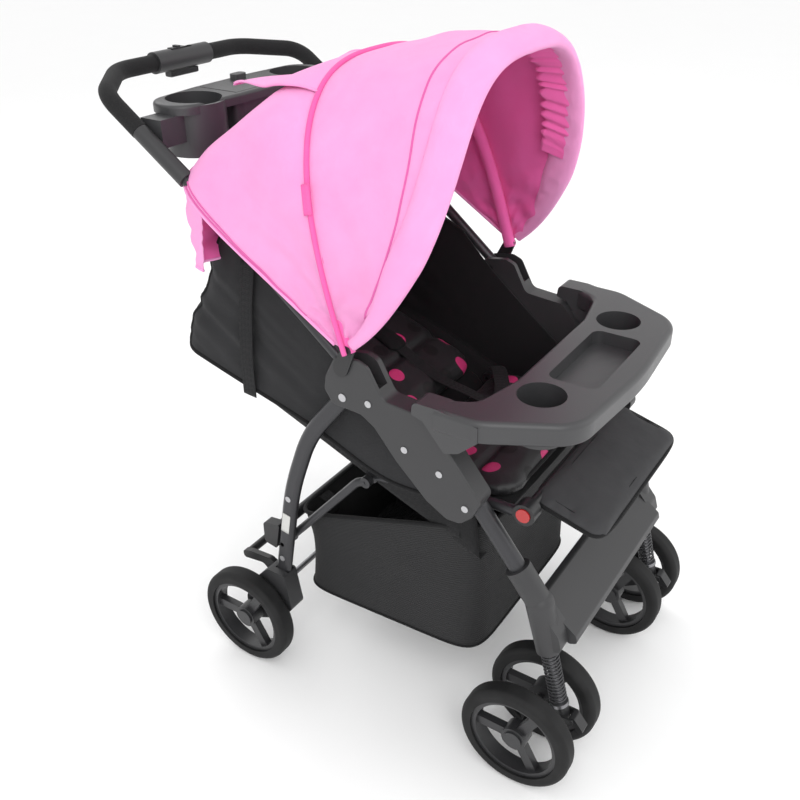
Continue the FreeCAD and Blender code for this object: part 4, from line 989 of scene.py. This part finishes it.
    def piping_and_patch(self) -> None:
        """The deep pink piping over the middle bow, its sleeve inside, and a blank woven patch."""
        over = self.piping * 0.55

        def line(share: float) -> Vector:
            """The piping's line on the cloth."""
            return self.spot(self.rear, self.middle, share, 1.0, 0.0) + self.middle.outward(share) * over

        piping = cloth_tube(
            "canopy_piping", line, oval(self.piping, self.piping), (14, 240), (0.022, 1.0),
            self.middle.outward, PINK_TRIM,
        )
        sleeve = cloth_tube(
            "canopy_bow_sleeve",
            lambda s: self.spot(self.rear, self.middle, s, 1.0, 0.0) - self.middle.outward(s) * 0.0085,
            oval(0.0075, 0.010), (18, 200), (0.06, 1.0), self.middle.outward, HOT_PINK,
        )
        centre = self.middle.at(0.205) + self.middle.outward(0.205) * 0.006
        turn = math.radians(self.middle.angle)
        run = (self.middle.at(0.225) - self.middle.at(0.185)).normalized()
        patch = strap(
            "canopy_patch", [centre + run * far for far in (-0.019, -0.006, 0.006, 0.019)],
            0.013, 0.0016, run.cross(Vector((0, math.sin(turn), -math.cos(turn)))), PINK_TRIM,
        )
        for piece in (piping, sleeve, patch):
            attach(piece, "canopy_mid")
        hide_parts("canopy_mid_bow")
        log.info("canopy piping and patch")

    def ruffle(self) -> None:
        """The gathered strip that elastic draws up inside the rim."""

        def place(u: float, v: float) -> Vector:
            """A point of the strip: u along the rim, v from the rim inwards."""
            share = self.gathers[0] + self.gathers[1] * u
            ends = smoothstep(0.0, 0.08, min(u, 1 - u))
            drift = 9.0 * noise.noise(Vector((u * 9, 0, 0))) + 3.0 * noise.noise(Vector((u * 30, 0, 0)))
            phase = u * 210 + drift
            gather = math.sin(phase + 2.0 * v) * (0.25 + v * (1.6 - v)) * 0.0026
            zigzag = math.sin(phase + v * 2.4) * v * 0.0032 + 0.004 * noise.noise(Vector((u * 34, 7, 0))) * v
            base = self.spot(self.middle, self.front, share, 1.0, 0.0)
            base = base + self.inward(share) * (0.012 + 0.040 * v + zigzag * ends)
            return base - self.front.outward(share) * (0.008 + 0.012 * v + gather * ends)

        piece = cloth_sheet("canopy_gathers", place, (700, 8), (1.2, 0.05), HOT_PINK, inside=HINGE)
        thicken(piece, 0.0009)
        self.hold(piece, False)
        log.info("canopy gathers")

    def flap(self) -> None:
        """The loose flap over the crown, held by the piping, with its free edge curled up."""
        arc = self.middle.height * math.radians(self.middle.angle - self.rear.angle)
        reach = 0.5 - self.middle.share_at(self.flap_half)

        def place(u: float, v: float) -> Vector:
            """A point of the flap: v from the piping back."""
            narrow = 1 - 0.20 * smoothstep(0.2, 1.0, v)
            across = 0.5 + (u - 0.5) * 2 * reach * narrow
            hoop = between(self.rear, self.middle, round(1.0 - v * self.flap_length / arc, 5))
            base, out = hoop.at(across), hoop.outward(across)
            curl = self.curl * smoothstep(0.50, 1.0, v) ** 1.3 * (0.55 + 0.9 * abs(u - 0.5))
            wave = 0.004 * math.sin(u * math.tau * 1.1 + 0.6) * v * v
            return base + out * (0.0042 + curl + wave + ruffle_noise(base, 14, 2.0) * 0.0018 * v)

        piece = cloth_sheet("canopy_flap", place, (84, 48), (0.28, 0.14), PINK, HOT_PINK, inside=HINGE)
        thicken(piece, 0.0014, inside=True)
        self.hold(piece, True)

        def edge(share: float) -> Vector:
            """Round the flap's three free sides."""
            if share < 1 / 3:
                return place(0.0, share * 3)
            if share < 2 / 3:
                return place((share - 1 / 3) * 3, 1.0)
            return place(1.0, 1 - (share - 2 / 3) * 3)

        hem = bead("canopy_flap_hem", edge, 0.0018, 0.52, PINK)
        self.hold(hem, True)
        log.info("canopy flap")

    def skirt(self) -> None:
        """The short skirt that hangs from the rear hem behind the seat."""
        first = self.rear.share_at(self.skirt_half)

        def place(u: float, v: float) -> Vector:
            """A point of the skirt: v from the hem down."""
            top = self.rear.at(first + (1 - 2 * first) * u) - self.rear.outward(0.5) * 0.001
            swing = math.sin(u * math.tau * 3.5 + 0.8) * 0.006
            swing += ruffle_noise(Vector((u, v * 0.3, 0)), 12, 6) * 0.006
            foot = Vector((top.x * 0.995, min(self.skirt_foot[0], top.y + 0.006) + swing, self.skirt_foot[1]))
            foot.z += 0.006 * noise.noise(Vector((u * 9, 4, 0))) - 0.010 * abs(2 * u - 1) ** 3
            point = top.lerp(foot, v)
            point.y += 0.016 * math.sin(math.pi * v) * (1 - abs(2 * u - 1) ** 4)
            point.y += ruffle_noise(Vector((u * 1.6, v * 0.8, 0)), 9, 1.0) * 0.007 * math.sin(math.pi * v)
            return point

        piece = cloth_sheet("canopy_skirt", place, (150, 44), (0.40, 0.13), PINK, HOT_PINK, inside=HINGE)
        thicken(piece, self.cloth, inside=True)
        hem = bead("canopy_skirt_hem", lambda s: place(s, 1.0), 0.0020, 0.40, PINK)
        for part in (piece, hem):
            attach(part, "handle")
        log.info("canopy skirt")


# ---------------------------------------------------------------- seat tub


@dataclass
class Tub:
    """The black cloth tub round the back of the seat, with its binding and its side straps."""

    half: float = 0.1905
    corner: float = 0.034
    front: tuple = (
        (-0.240, 0.424), (-0.218, 0.468), (-0.165, 0.508), (-0.125, 0.538), (-0.049, 0.600), (0.000, 0.650)
    )
    rear: tuple = ((0.284, 0.532), (0.280, 0.562), (0.246, 0.610), (0.214, 0.668), (0.192, 0.737))
    strap_foot: tuple[float, float] = (0.147, 0.482)
    strap_head: tuple[float, float] = (0.128, 0.700)
    strap_width: float = 0.025
    board: tuple[float, float] = (0.388, 0.398)

    def __post_init__(self) -> None:
        """Lay out the front and rear edges."""
        self.front_edge = polyline([Vector((0, y, z)) for y, z in self.front], 0.03)
        self.rear_edge = polyline([Vector((0, y, z)) for y, z in self.rear], 0.035)

    def place(self, u: float, v: float) -> Vector:
        """A point of the tub.

        Args:
            u: share from the right front edge round the back to the left front edge.
            v: share from the bottom edge to the top edge.

        Returns:
            The point, creased.
        """
        start, finish = self.front_edge(v), self.rear_edge(v)
        deep = (finish - start).length
        mirrored, share = (u > 0.5), (u if u <= 0.5 else 1 - u)
        side_end, corner_end = 0.36, 0.42
        quarter = math.pi / 2
        if share < side_end:
            run, side, turn = share / side_end * (deep - self.corner), self.half, 0.0
        elif share < corner_end:
            turn = (share - side_end) / (corner_end - side_end) * quarter
            run = deep - self.corner * (1 - math.sin(turn))
            side = self.half - self.corner * (1 - math.cos(turn))
        else:
            turn = quarter
            run, side = deep, (self.half - self.corner) * (0.5 - share) / (0.5 - corner_end)
        sign = 1.0 if mirrored else -1.0
        along = (finish - start).normalized()
        point = start + along * run + ACROSS * (side * sign)
        out = (ACROSS * (sign * math.cos(turn)) + along * math.sin(turn)).normalized()
        loose = smoothstep(0.14, 0.30, share) * smoothstep(0.0, 0.12, min(v, 1.05 - v))
        part = run / deep
        dip = 0.026 * math.exp(-(((part - 0.27) / 0.18) ** 2)) + 0.013 * math.sin(math.pi * part)
        point.z -= (1 - v) ** 2 * dip
        slant = ruffle_noise(Vector((run * 1.2 - v * 0.30, v * 0.16, sign)), 13, 7.0) * 0.0075
        small = ruffle_noise(point, 30, 3.0) * 0.0022
        pinch = -0.0045 * math.exp(-((run - deep * 0.72) / 0.022) ** 2) * math.sin(math.pi * v)
        belly = 0.0040 * math.sin(math.pi * v) * smoothstep(0.12, 0.36, share)
        return point + out * (loose * (slant + small) + pinch * loose + belly)

    def build(self) -> None:
        """Make the tub's cloth, binding and straps."""
        cloth = cloth_sheet(
            "seat_tub", self.place, (240, 72), (0.95, 0.34), CHARCOAL, BLACK_CLOTH,
            inside=Vector((0, 0.03, 0.60)),
        )
        thicken(cloth, 0.0014, inside=True)
        floor = cloth_sheet(
            "seat_tub_floor", self.under, (80, 60), (0.38, 0.35), BLACK_CLOTH, inside=Vector((0, 0.03, 0.60))
        )
        thicken(floor, 0.0014)
        edges = [
            floor,
            bead("seat_tub_bottom_binding", lambda s: self.place(s, 0.0), 0.0032, 0.95, BINDING),
            bead("seat_tub_top_binding", lambda s: self.place(s, 1.0), 0.0028, 0.95, BINDING),
            bead("seat_tub_right_seam", lambda s: self.place(0.39, s), 0.0026, 0.26, BINDING),
            bead("seat_tub_left_seam", lambda s: self.place(0.61, s), 0.0026, 0.26, BINDING),
        ]
        for side, sign in (("right", -1), ("left", 1)):
            points = [
                Vector((sign * (self.half + bulge), *self.strap_line(share)))
                for share, bulge in ((0.0, 0.004), (0.3, 0.0105), (0.7, 0.0105), (1.0, 0.004))
            ]
            edges.append(
                strap(f"seat_tub_{side}_strap", points, self.strap_width, 0.0016, ACROSS * sign, WEBBING)
            )
        for piece in (cloth, *edges):
            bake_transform(piece)
        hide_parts("side_panels")
        log.info("seat tub")

    def under(self, u: float, v: float) -> Vector:
        """A point of the tub's floor, which passes under the backrest: u across, v from front to rear."""
        edge = self.place(0.42 * v, 0.0)
        aside = abs(2 * u - 1)
        board = self.board[0] + (edge.y - HINGE.y) * self.board[1]
        z = board + (edge.z - board) * smoothstep(0.88, 1.0, aside)
        return Vector((abs(edge.x) * (2 * u - 1), edge.y, z))

    def strap_line(self, share: float) -> tuple[float, float]:
        """The side strap's place at a share of its length."""
        (y0, z0), (y1, z1) = self.strap_foot, self.strap_head
        return y0 + (y1 - y0) * share, z0 + (z1 - z0) * share


# ---------------------------------------------------------------- seat pads


@dataclass
class Pad:
    """A stuffed pad with rounded corners, laid on a slope across the seat.

    Args:
        name: the piece's name.
        start: the middle of its first edge, on its underside.
        slope: its rise, in degrees.
        half: half its width.
        length: its length.
        thick: its thickness.
        corner: radius of its corners.
        channels: shares of its length where a seam is sewn across.
        cap: how far its cloth may swell.
    """

    name: str
    start: Vector
    slope: float
    half: float
    length: float
    thick: float
    corner: float = 0.03
    channels: tuple[float, ...] = ()
    cap: float = 0.007

    @property
    def along(self) -> Vector:
        """Direction up the slope."""
        turn = math.radians(self.slope)
        return Vector((0, math.cos(turn), math.sin(turn)))

    @property
    def out(self) -> Vector:
        """Direction out of the pad's face."""
        turn = math.radians(self.slope)
        return Vector((0, -math.sin(turn), math.cos(turn)))

    def point(self, across: float, along: float, rise: float) -> Vector:
        """A point by its distances across, along and out of the pad."""
        return self.start + ACROSS * across + self.along * along + self.out * rise

    def build(self, finish: object) -> bpy.types.Object:
        """Blow the pad up, sew its channels and dress it."""
        bm = bmesh.new()
        inset = self.cap * 0.6
        bmesh.ops.create_cube(bm, size=1.0)
        wide, deep, tall = self.half * 2 - inset * 2, self.length - inset * 2, self.thick - inset * 1.1
        bmesh.ops.scale(bm, vec=(wide, deep, tall), verts=bm.verts)
        upright = [e for e in bm.edges if abs((e.verts[0].co - e.verts[1].co).z) > tall / 2]
        bmesh.ops.bevel(
            bm, geom=upright, offset=self.corner, segments=6, profile=0.5, affect="EDGES", material=-1
        )
        level = [e for e in bm.edges if e.is_manifold and e.calc_face_angle(0) > 1.0]
        bmesh.ops.bevel(
            bm, geom=level, offset=tall * 0.42, segments=4, profile=0.5, affect="EDGES", material=-1
        )
        middle = Vector((0, self.length / 2, self.thick / 2))
        for vert in bm.verts:
            vert.co = self.point(*(vert.co + middle))
        bmesh.ops.recalc_face_normals(bm, faces=bm.faces)
        pad = as_object(bm, self.name, finish)
        stuff(pad, self.cap)
        self.spread(pad)
        self.sew(pad)
        smooth(pad)
        return pad

    def spread(self, pad: bpy.types.Object) -> None:
        """Draw the blown pad out to its full width and length, which the swelling took up."""
        middle = self.length / 2
        across = [abs((vert.co - self.start).x) for vert in pad.data.vertices]
        along = [abs((vert.co - self.start).dot(self.along) - middle) for vert in pad.data.vertices]
        wider, longer = self.half / max(across), middle / max(along)
        for vert in pad.data.vertices:
            local = vert.co - self.start
            far = local.dot(self.along)
            vert.co += ACROSS * (local.x * (wider - 1)) + self.along * ((far - middle) * (longer - 1))

    def sew(self, pad: bpy.types.Object) -> None:
        """Draw the face down along the sewn channels and keep the back flat."""
        for vert in pad.data.vertices:
            local = vert.co - self.start
            along, rise = local.dot(self.along), local.dot(self.out)
            if rise < self.thick * 0.5:
                vert.co += self.out * (max(0.0, 0.0004 - rise))
                continue
            for channel in self.channels:
                away = along - channel * self.length
                vert.co -= self.out * (0.0075 * math.exp(-((away / 0.0065) ** 2)))
            crumple = ruffle_noise(vert.co, 16, 4.0) * 0.0016 + ruffle_noise(vert.co, 45, 8.0) * 0.0007
            vert.co += self.out * crumple

    def border(self, name: str, inset: float, rise: float, radius: float, finish: object) -> bpy.types.Object:
        """A closed bead round the pad, inside its edge."""
        half, length = self.half - inset, self.length - inset * 2
        corner = max(0.006, self.corner - inset)

        def line(share: float) -> Vector:
            """Round a rounded rectangle."""
            turn = share * math.tau
            power = 2 / (2 + 3.2 * (half - corner) / half * 2)
            c, s = math.cos(turn), math.sin(turn)
            x = half * math.copysign(abs(c) ** power, c)
            y = length / 2 * math.copysign(abs(s) ** power, s)
            return self.point(x, inset + length / 2 + y, rise)

        around = 4 * half + 2 * length
        return cloth_tube(
            name, evenly(line, 600), oval(radius, radius), (10, int(around / 0.006)), (radius * 6, around),
            lambda _s: self.out, finish, closed=True,
        )


@dataclass
class Seat:
    """Everything soft on the seat: its sling, its pads, its board cover, its leg rest and its harness."""

    tilt: float = 21.7
    hinge: Vector = field(default_factory=lambda: Vector((0, -0.065, 0.404)))

    def build(self) -> None:
        """Make the seat's soft pieces."""
        self.sling()
        self.pads()
        self.leg_rest()
        self.harness()

    def back(self, across: float, along: float, rise: float) -> Vector:
        """A point of the backrest by distances across, up and out of it."""
        turn = math.radians(self.tilt)
        up = Vector((0, math.cos(turn), math.sin(turn)))
        return self.hinge + ACROSS * across + up * along + Vector((0, -up.z, up.y)) * rise

    def sling(self) -> None:
        """The cloth stretched between the seat tubes, and the cloth over the backrest's board."""
        low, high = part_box("seat_sling")

        def place(u: float, v: float) -> Vector:
            """A point of the sling: u across, v from front to rear."""
            y = low[1] + (high[1] - low[1]) * v
            z = 0.4300 - 0.0235 * v - 0.006 * math.sin(math.pi * u) * (0.4 + v)
            z += ruffle_noise(Vector((u, v, 0)), 7, 1) * 0.001
            return Vector((low[0] + (high[0] - low[0]) * u, y, z))

        sling = cloth_sheet(
            "seat_sling_cloth", place, (60, 40), (0.335, 0.21), BLACK_CLOTH, inside=Vector((0, -0.18, 0.7))
        )
        thicken(sling, 0.002)
        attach(sling, "seat_frame")
        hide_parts("seat_sling")
        board = Pad(
            "backrest_cover", self.back(0, -0.006, -0.0105), self.tilt, 0.166, 0.378, 0.0105, 0.028, (), 0.002
        )
        cover = board.build(BLACK_CLOTH)
        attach(cover, "backrest")
        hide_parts("backrest_board")
        log.info("seat sling and backrest cover")

    def pads(self) -> None:
        """The dotted seat and back pads with their black binding."""
        slope = math.degrees(math.atan2(0.432 - 0.456, 0.19))
        seat = Pad(
            "seat_cushion", Vector((0, -0.283, 0.4315)), slope, half=0.163, length=0.198, thick=0.025,
            corner=0.034, channels=(0.34, 0.68),
        )
        back = Pad(
            "back_cushion", self.back(0, 0.028, 0.0008), self.tilt, half=0.163, length=0.338, thick=0.026,
            corner=0.040, channels=(0.26, 0.52, 0.78),
        )
        for pad, body, node, turn in (
            (seat, "seat_frame", "seat_pad", slope), (back, "backrest", "backrest_pad", self.tilt)
        ):
            piece = pad.build(Dotted(f"{pad.name} liner", (math.radians(turn), 0, 0)))
            welt = pad.border(f"{pad.name}_binding", 0.003, pad.thick * 0.5, 0.0032, BINDING)
            for part in (piece, welt):
                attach(part, body)
            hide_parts(node)
        log.info("seat and back cushions")

    def leg_rest(self) -> None:
        """The charcoal leg rest with its stitched border, its piping and a plain heart."""
        start = Vector((0, -0.4055, 0.4040))
        slope = math.degrees(math.atan2(0.430 - 0.404, 0.098))
        pad = Pad("leg_rest_cushion", start, slope, 0.151, 0.110, 0.0155, 0.024, (), 0.004)
        panel = pad.build(LEG_REST)
        pieces = [
            panel,
            pad.border("leg_rest_piping", 0.0005, pad.thick * 0.5, 0.0030, BINDING),
            pad.border("leg_rest_stitching", 0.014, pad.thick + 0.0004, 0.0007, WEBBING),
            self.heart(pad),
        ]
        for piece in pieces:
            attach(piece, "leg_rest")
        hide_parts("leg_rest_panel")
        log.info("leg rest")

    @staticmethod
    def heart(pad: Pad) -> bpy.types.Object:
        """A small embroidered heart near the leg rest's left corner."""

        def line(share: float) -> Vector:
            """Round the heart."""
            turn = share * math.tau
            x = 16 * math.sin(turn) ** 3
            y = 13 * math.cos(turn) - 5 * math.cos(2 * turn) - 2 * math.cos(3 * turn) - math.cos(4 * turn)
            return pad.point(0.098 + x * 0.00095, 0.052 + y * 0.00095, pad.thick + 0.0012)

        return cloth_tube(
            "leg_rest_heart", evenly(line, 300), oval(0.0009, 0.0013), (8, 90), (0.008, 0.1),
            lambda _s: pad.out, PALE, closed=True,
        )

    def harness(self) -> None:
        """Shoulder, waist and crotch straps that meet at the buckle."""
        low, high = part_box("harness_buckle")
        middle = Vector((0, (low[1] + high[1]) / 2, (low[2] + high[2]) / 2))
        for side, sign in (("right", -1), ("left", 1)):
            x = sign * 0.062
            run = [
                self.back(x, 0.318, 0.0265), self.back(x, 0.285, 0.0315), self.back(x, 0.14, 0.0320),
                self.back(x * 0.9, 0.045, 0.0300), Vector((x * 0.62, -0.100, 0.4520)),
                middle + Vector((sign * 0.017, 0.019, 0.001)),
            ]
            belt = strap(f"shoulder_strap_{side}", run, 0.025, 0.0022, Vector((0, -0.37, 0.93)))
            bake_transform(belt)
            cushion = Pad(
                f"shoulder_pad_{side}", self.back(x, 0.125, 0.0275), self.tilt, 0.0225, 0.155, 0.0125, 0.012,
                (0.5,), 0.003,
            )
            cover = cushion.build(BLACK_CLOTH)
            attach(cover, "backrest")
            waist = strap(
                f"waist_strap_{side}",
                [
                    Vector((sign * 0.160, -0.085, 0.4380)), Vector((sign * 0.135, -0.105, 0.4520)),
                    Vector((sign * 0.070, -0.145, 0.4545)), middle + Vector((sign * 0.018, 0.006, 0)),
                ],
                0.025, 0.0022, UP,
            )
            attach(waist, "seat_frame")
            if sign < 0:
                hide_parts("shoulder_straps")
        crotch = strap(
            "crotch_strap",
            [middle + Vector((0, -0.014, 0)), Vector((0, -0.205, 0.4560)), Vector((0, -0.232, 0.4590)),
             Vector((0, -0.250, 0.4530))],
            0.030, 0.0024, UP,
        )
        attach(crotch, "seat_frame")
        log.info("harness")


# ---------------------------------------------------------------- basket


@dataclass
class Basket:
    """The ribbed black basket under the seat, hung by straps."""

    half: float = 0.1745
    front_top: tuple[float, float] = (-0.255, 0.385)
    rear_top: tuple[float, float] = (0.095, 0.268)
    front_foot: tuple[float, float] = (-0.247, 0.138)
    rear_foot: tuple[float, float] = (0.092, 0.123)
    sag: float = 0.010
    tab: tuple = ((0.066, 0.236), (0.069, 0.262), (0.084, 0.268), (0.098, 0.262))

    def ring(self, turn_share: float, front: tuple, rear: tuple, inset: float = 0.0) -> Vector:
        """A point round a sloping rounded rectangle between a front edge and a rear edge."""
        turn = turn_share * math.tau
        power = 2 / 9.0
        c, s = math.cos(turn), math.sin(turn)
        x = (self.half - inset) * math.copysign(abs(c) ** power, c)
        share = 0.5 - 0.5 * math.copysign(abs(s) ** power, s) * (1 - inset / 0.16)
        y, z = (front[i] + (rear[i] - front[i]) * share for i in (0, 1))
        return Vector((x, y, z))

    def place(self, u: float, v: float) -> Vector:
        """A point of the bag: u round it, v down the wall and over the floor to its middle."""
        wall = 0.62
        if v <= wall:
            drop = v / wall
            top = self.rim_at(u)
            foot = self.foot_at(u)
            point = top.lerp(foot, drop)
            middle = Vector((0, -0.09, point.z))
            out = (point - middle).normalized()
            slack = math.sin(math.pi * drop)
            point += out * (-0.006 * slack + ruffle_noise(point, 11, 2.0) * 0.0050 * slack)
            point.z -= 0.007 * math.sin(math.pi * drop * 0.5) * abs(math.sin(u * math.tau * 2)) * 0.4
            return point
        inward = (v - wall) / (1 - wall)
        foot = self.foot_at(u)
        centre = (Vector((0, *self.front_foot)) + Vector((0, *self.rear_foot))) / 2
        point = foot.lerp(centre, inward)
        point.z -= self.sag * math.sin(math.pi / 2 * inward) + ruffle_noise(point, 14, 7.0) * 0.003 * inward
        return point

    def build(self) -> None:
        """Make the bag, its bound rim and its straps."""
        rim = evenly(lambda s: self.ring(s, self.front_top, self.rear_top), 800)
        foot = evenly(lambda s: self.ring(s, self.front_foot, self.rear_foot, 0.004), 800)
        self.rim_at, self.foot_at = rim, foot
        bag = cloth_sheet(
            "basket_bag", self.place, (240, 70), (1.32, 0.42), BASKET, inside=Vector((0, -0.09, 0.28))
        )
        thicken(bag, 0.0016)
        pieces = [bag, bead("basket_rim_binding", rim, 0.0036, 1.32, BINDING, closed=True)]
        pieces.append(bead("basket_foot_seam", foot, 0.0022, 1.3, BINDING, closed=True))
        for side, sign in (("right", -1), ("left", 1)):
            pieces.append(
                strap(
                    f"basket_front_strap_{side}",
                    [Vector((sign * 0.1765, -0.200, z)) for z in (0.352, 0.375, 0.398, 0.4185)],
                    0.022, 0.0018, ACROSS * sign,
                )
            )
            pieces.append(
                strap(
                    f"basket_rear_tab_{side}",
                    [Vector((sign * 0.103, y, z)) for y, z in self.tab],
                    0.025, 0.0018, Vector((0, 0.3, 1)),
                )
            )
        for piece in pieces:
            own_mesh(piece)
            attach(piece, "chassis")
        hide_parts("basket")
        log.info("basket")


# ---------------------------------------------------------------- small trims


@dataclass
class Trims:
    """Small pieces: a blank label on the right rear leg."""

    low: float = 0.268
    high: float = 0.304
    width: float = 0.015

    def on_leg(self, height: float) -> Vector:
        """The middle of the right rear leg's outer side at a height."""
        low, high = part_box("rear_leg_tubes")
        hits = []
        for step in range(401):
            y = low[1] + (high[1] - low[1]) * step / 400
            start = Vector((low[0] - 0.1, y, height))
            hit, point, _, _ = frame["nodes"]["rear_leg_tubes"].ray_cast(start, ACROSS)
            if hit and point.x < 0:
                hits.append(point.copy())
        return hits[len(hits) // 2] - ACROSS * 0.0006

    def build(self) -> None:
        """Make the label."""
        points = [self.on_leg(self.low + (self.high - self.low) * share) for share in (0.0, 0.3, 0.7, 1.0)]
        label = strap("rear_leg_label", points, self.width, 0.0009, -ACROSS, LABEL)
        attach(label, "rear_legs")
        log.info("label")


# ---------------------------------------------------------------- studio


@dataclass
class Studio:
    """The camera, the soft lights and the pale floor."""

    eye: Vector = field(default_factory=lambda: Vector((-1.0748, -0.6967, 1.1725)))
    heading: Vector = field(default_factory=lambda: Vector((0.7233, 0.4715, -0.5045)))
    roll: float = -0.2
    lens: float = 41.19
    floor_size: float = 40.0

    def camera(self) -> None:
        """Stand the camera."""
        data = bpy.data.cameras.new("camera")
        data.lens, data.sensor_width = self.lens, 36.0
        camera = bpy.data.objects.new("camera", data)
        turn = self.heading.to_track_quat("-Z", "Y").to_matrix().to_4x4()
        roll = Matrix.Rotation(math.radians(self.roll), 4, "Z")
        camera.matrix_world = Matrix.Translation(self.eye) @ turn @ roll
        bpy.context.scene.collection.objects.link(camera)
        bpy.context.scene.camera = camera

    def floor(self) -> None:
        """Lay the floor."""
        bm = bmesh.new()
        bmesh.ops.create_grid(bm, x_segments=8, y_segments=8, size=self.floor_size / 2)
        shader = Shader("studio floor")
        cloud = shader.noise(shader.at(Space.OBJECT), 3, 4)
        shader.set(Base_Color=shader.mix(cloud, (0.955, 0.955, 0.955), (0.975, 0.975, 0.975)), Roughness=0.75)
        mesh = bpy.data.meshes.new("studio_floor")
        bm.to_mesh(mesh)
        bm.free()
        mesh.materials.append(shader.material)
        floor = bpy.data.objects.new("studio_floor", mesh)
        bpy.context.scene.collection.objects.link(floor)

    def lights(self) -> None:
        """Hang three soft panels and an even sky."""
        aim = Vector((0, 0, 0.5))
        panels = {
            "key": (Vector((-2.2, -1.6, 2.6)), 2.4, 44.0),
            "fill": (Vector((1.2, -2.8, 1.8)), 2.6, 18.0),
            "rear": (Vector((0.8, 2.6, 2.6)), 2.2, 20.0),
        }
        for name, (place, size, power) in panels.items():
            data = bpy.data.lights.new(name, "AREA")
            data.shape, data.size, data.energy = "SQUARE", size, power
            lamp = bpy.data.objects.new(name, data)
            turn = (aim - place).to_track_quat("-Z", "Y").to_matrix().to_4x4()
            lamp.matrix_world = Matrix.Translation(place) @ turn
            bpy.context.scene.collection.objects.link(lamp)
        world = bpy.data.worlds.new("studio")
        world.use_nodes = True
        sky = world.node_tree.nodes["Background"]
        sky.inputs[0].default_value = (1, 1, 1, 1)
        sky.inputs[1].default_value = 1.0
        bpy.context.scene.world = world
        bpy.context.scene.view_settings.view_transform = "Standard"

    def build(self) -> None:
        """Set the studio up."""
        self.camera()
        self.floor()
        self.lights()
        log.info("studio")


def main() -> None:
    """Build the studio, dress the frame and make every soft piece."""
    logging.basicConfig(level=logging.INFO, format="%(name)s: %(message)s")
    Studio().build()
    FrameFinishes().dress()
    Canopy().build()
    Tub().build()
    Seat().build()
    Basket().build()
    Trims().build()


if __name__ == "__main__":
    main()
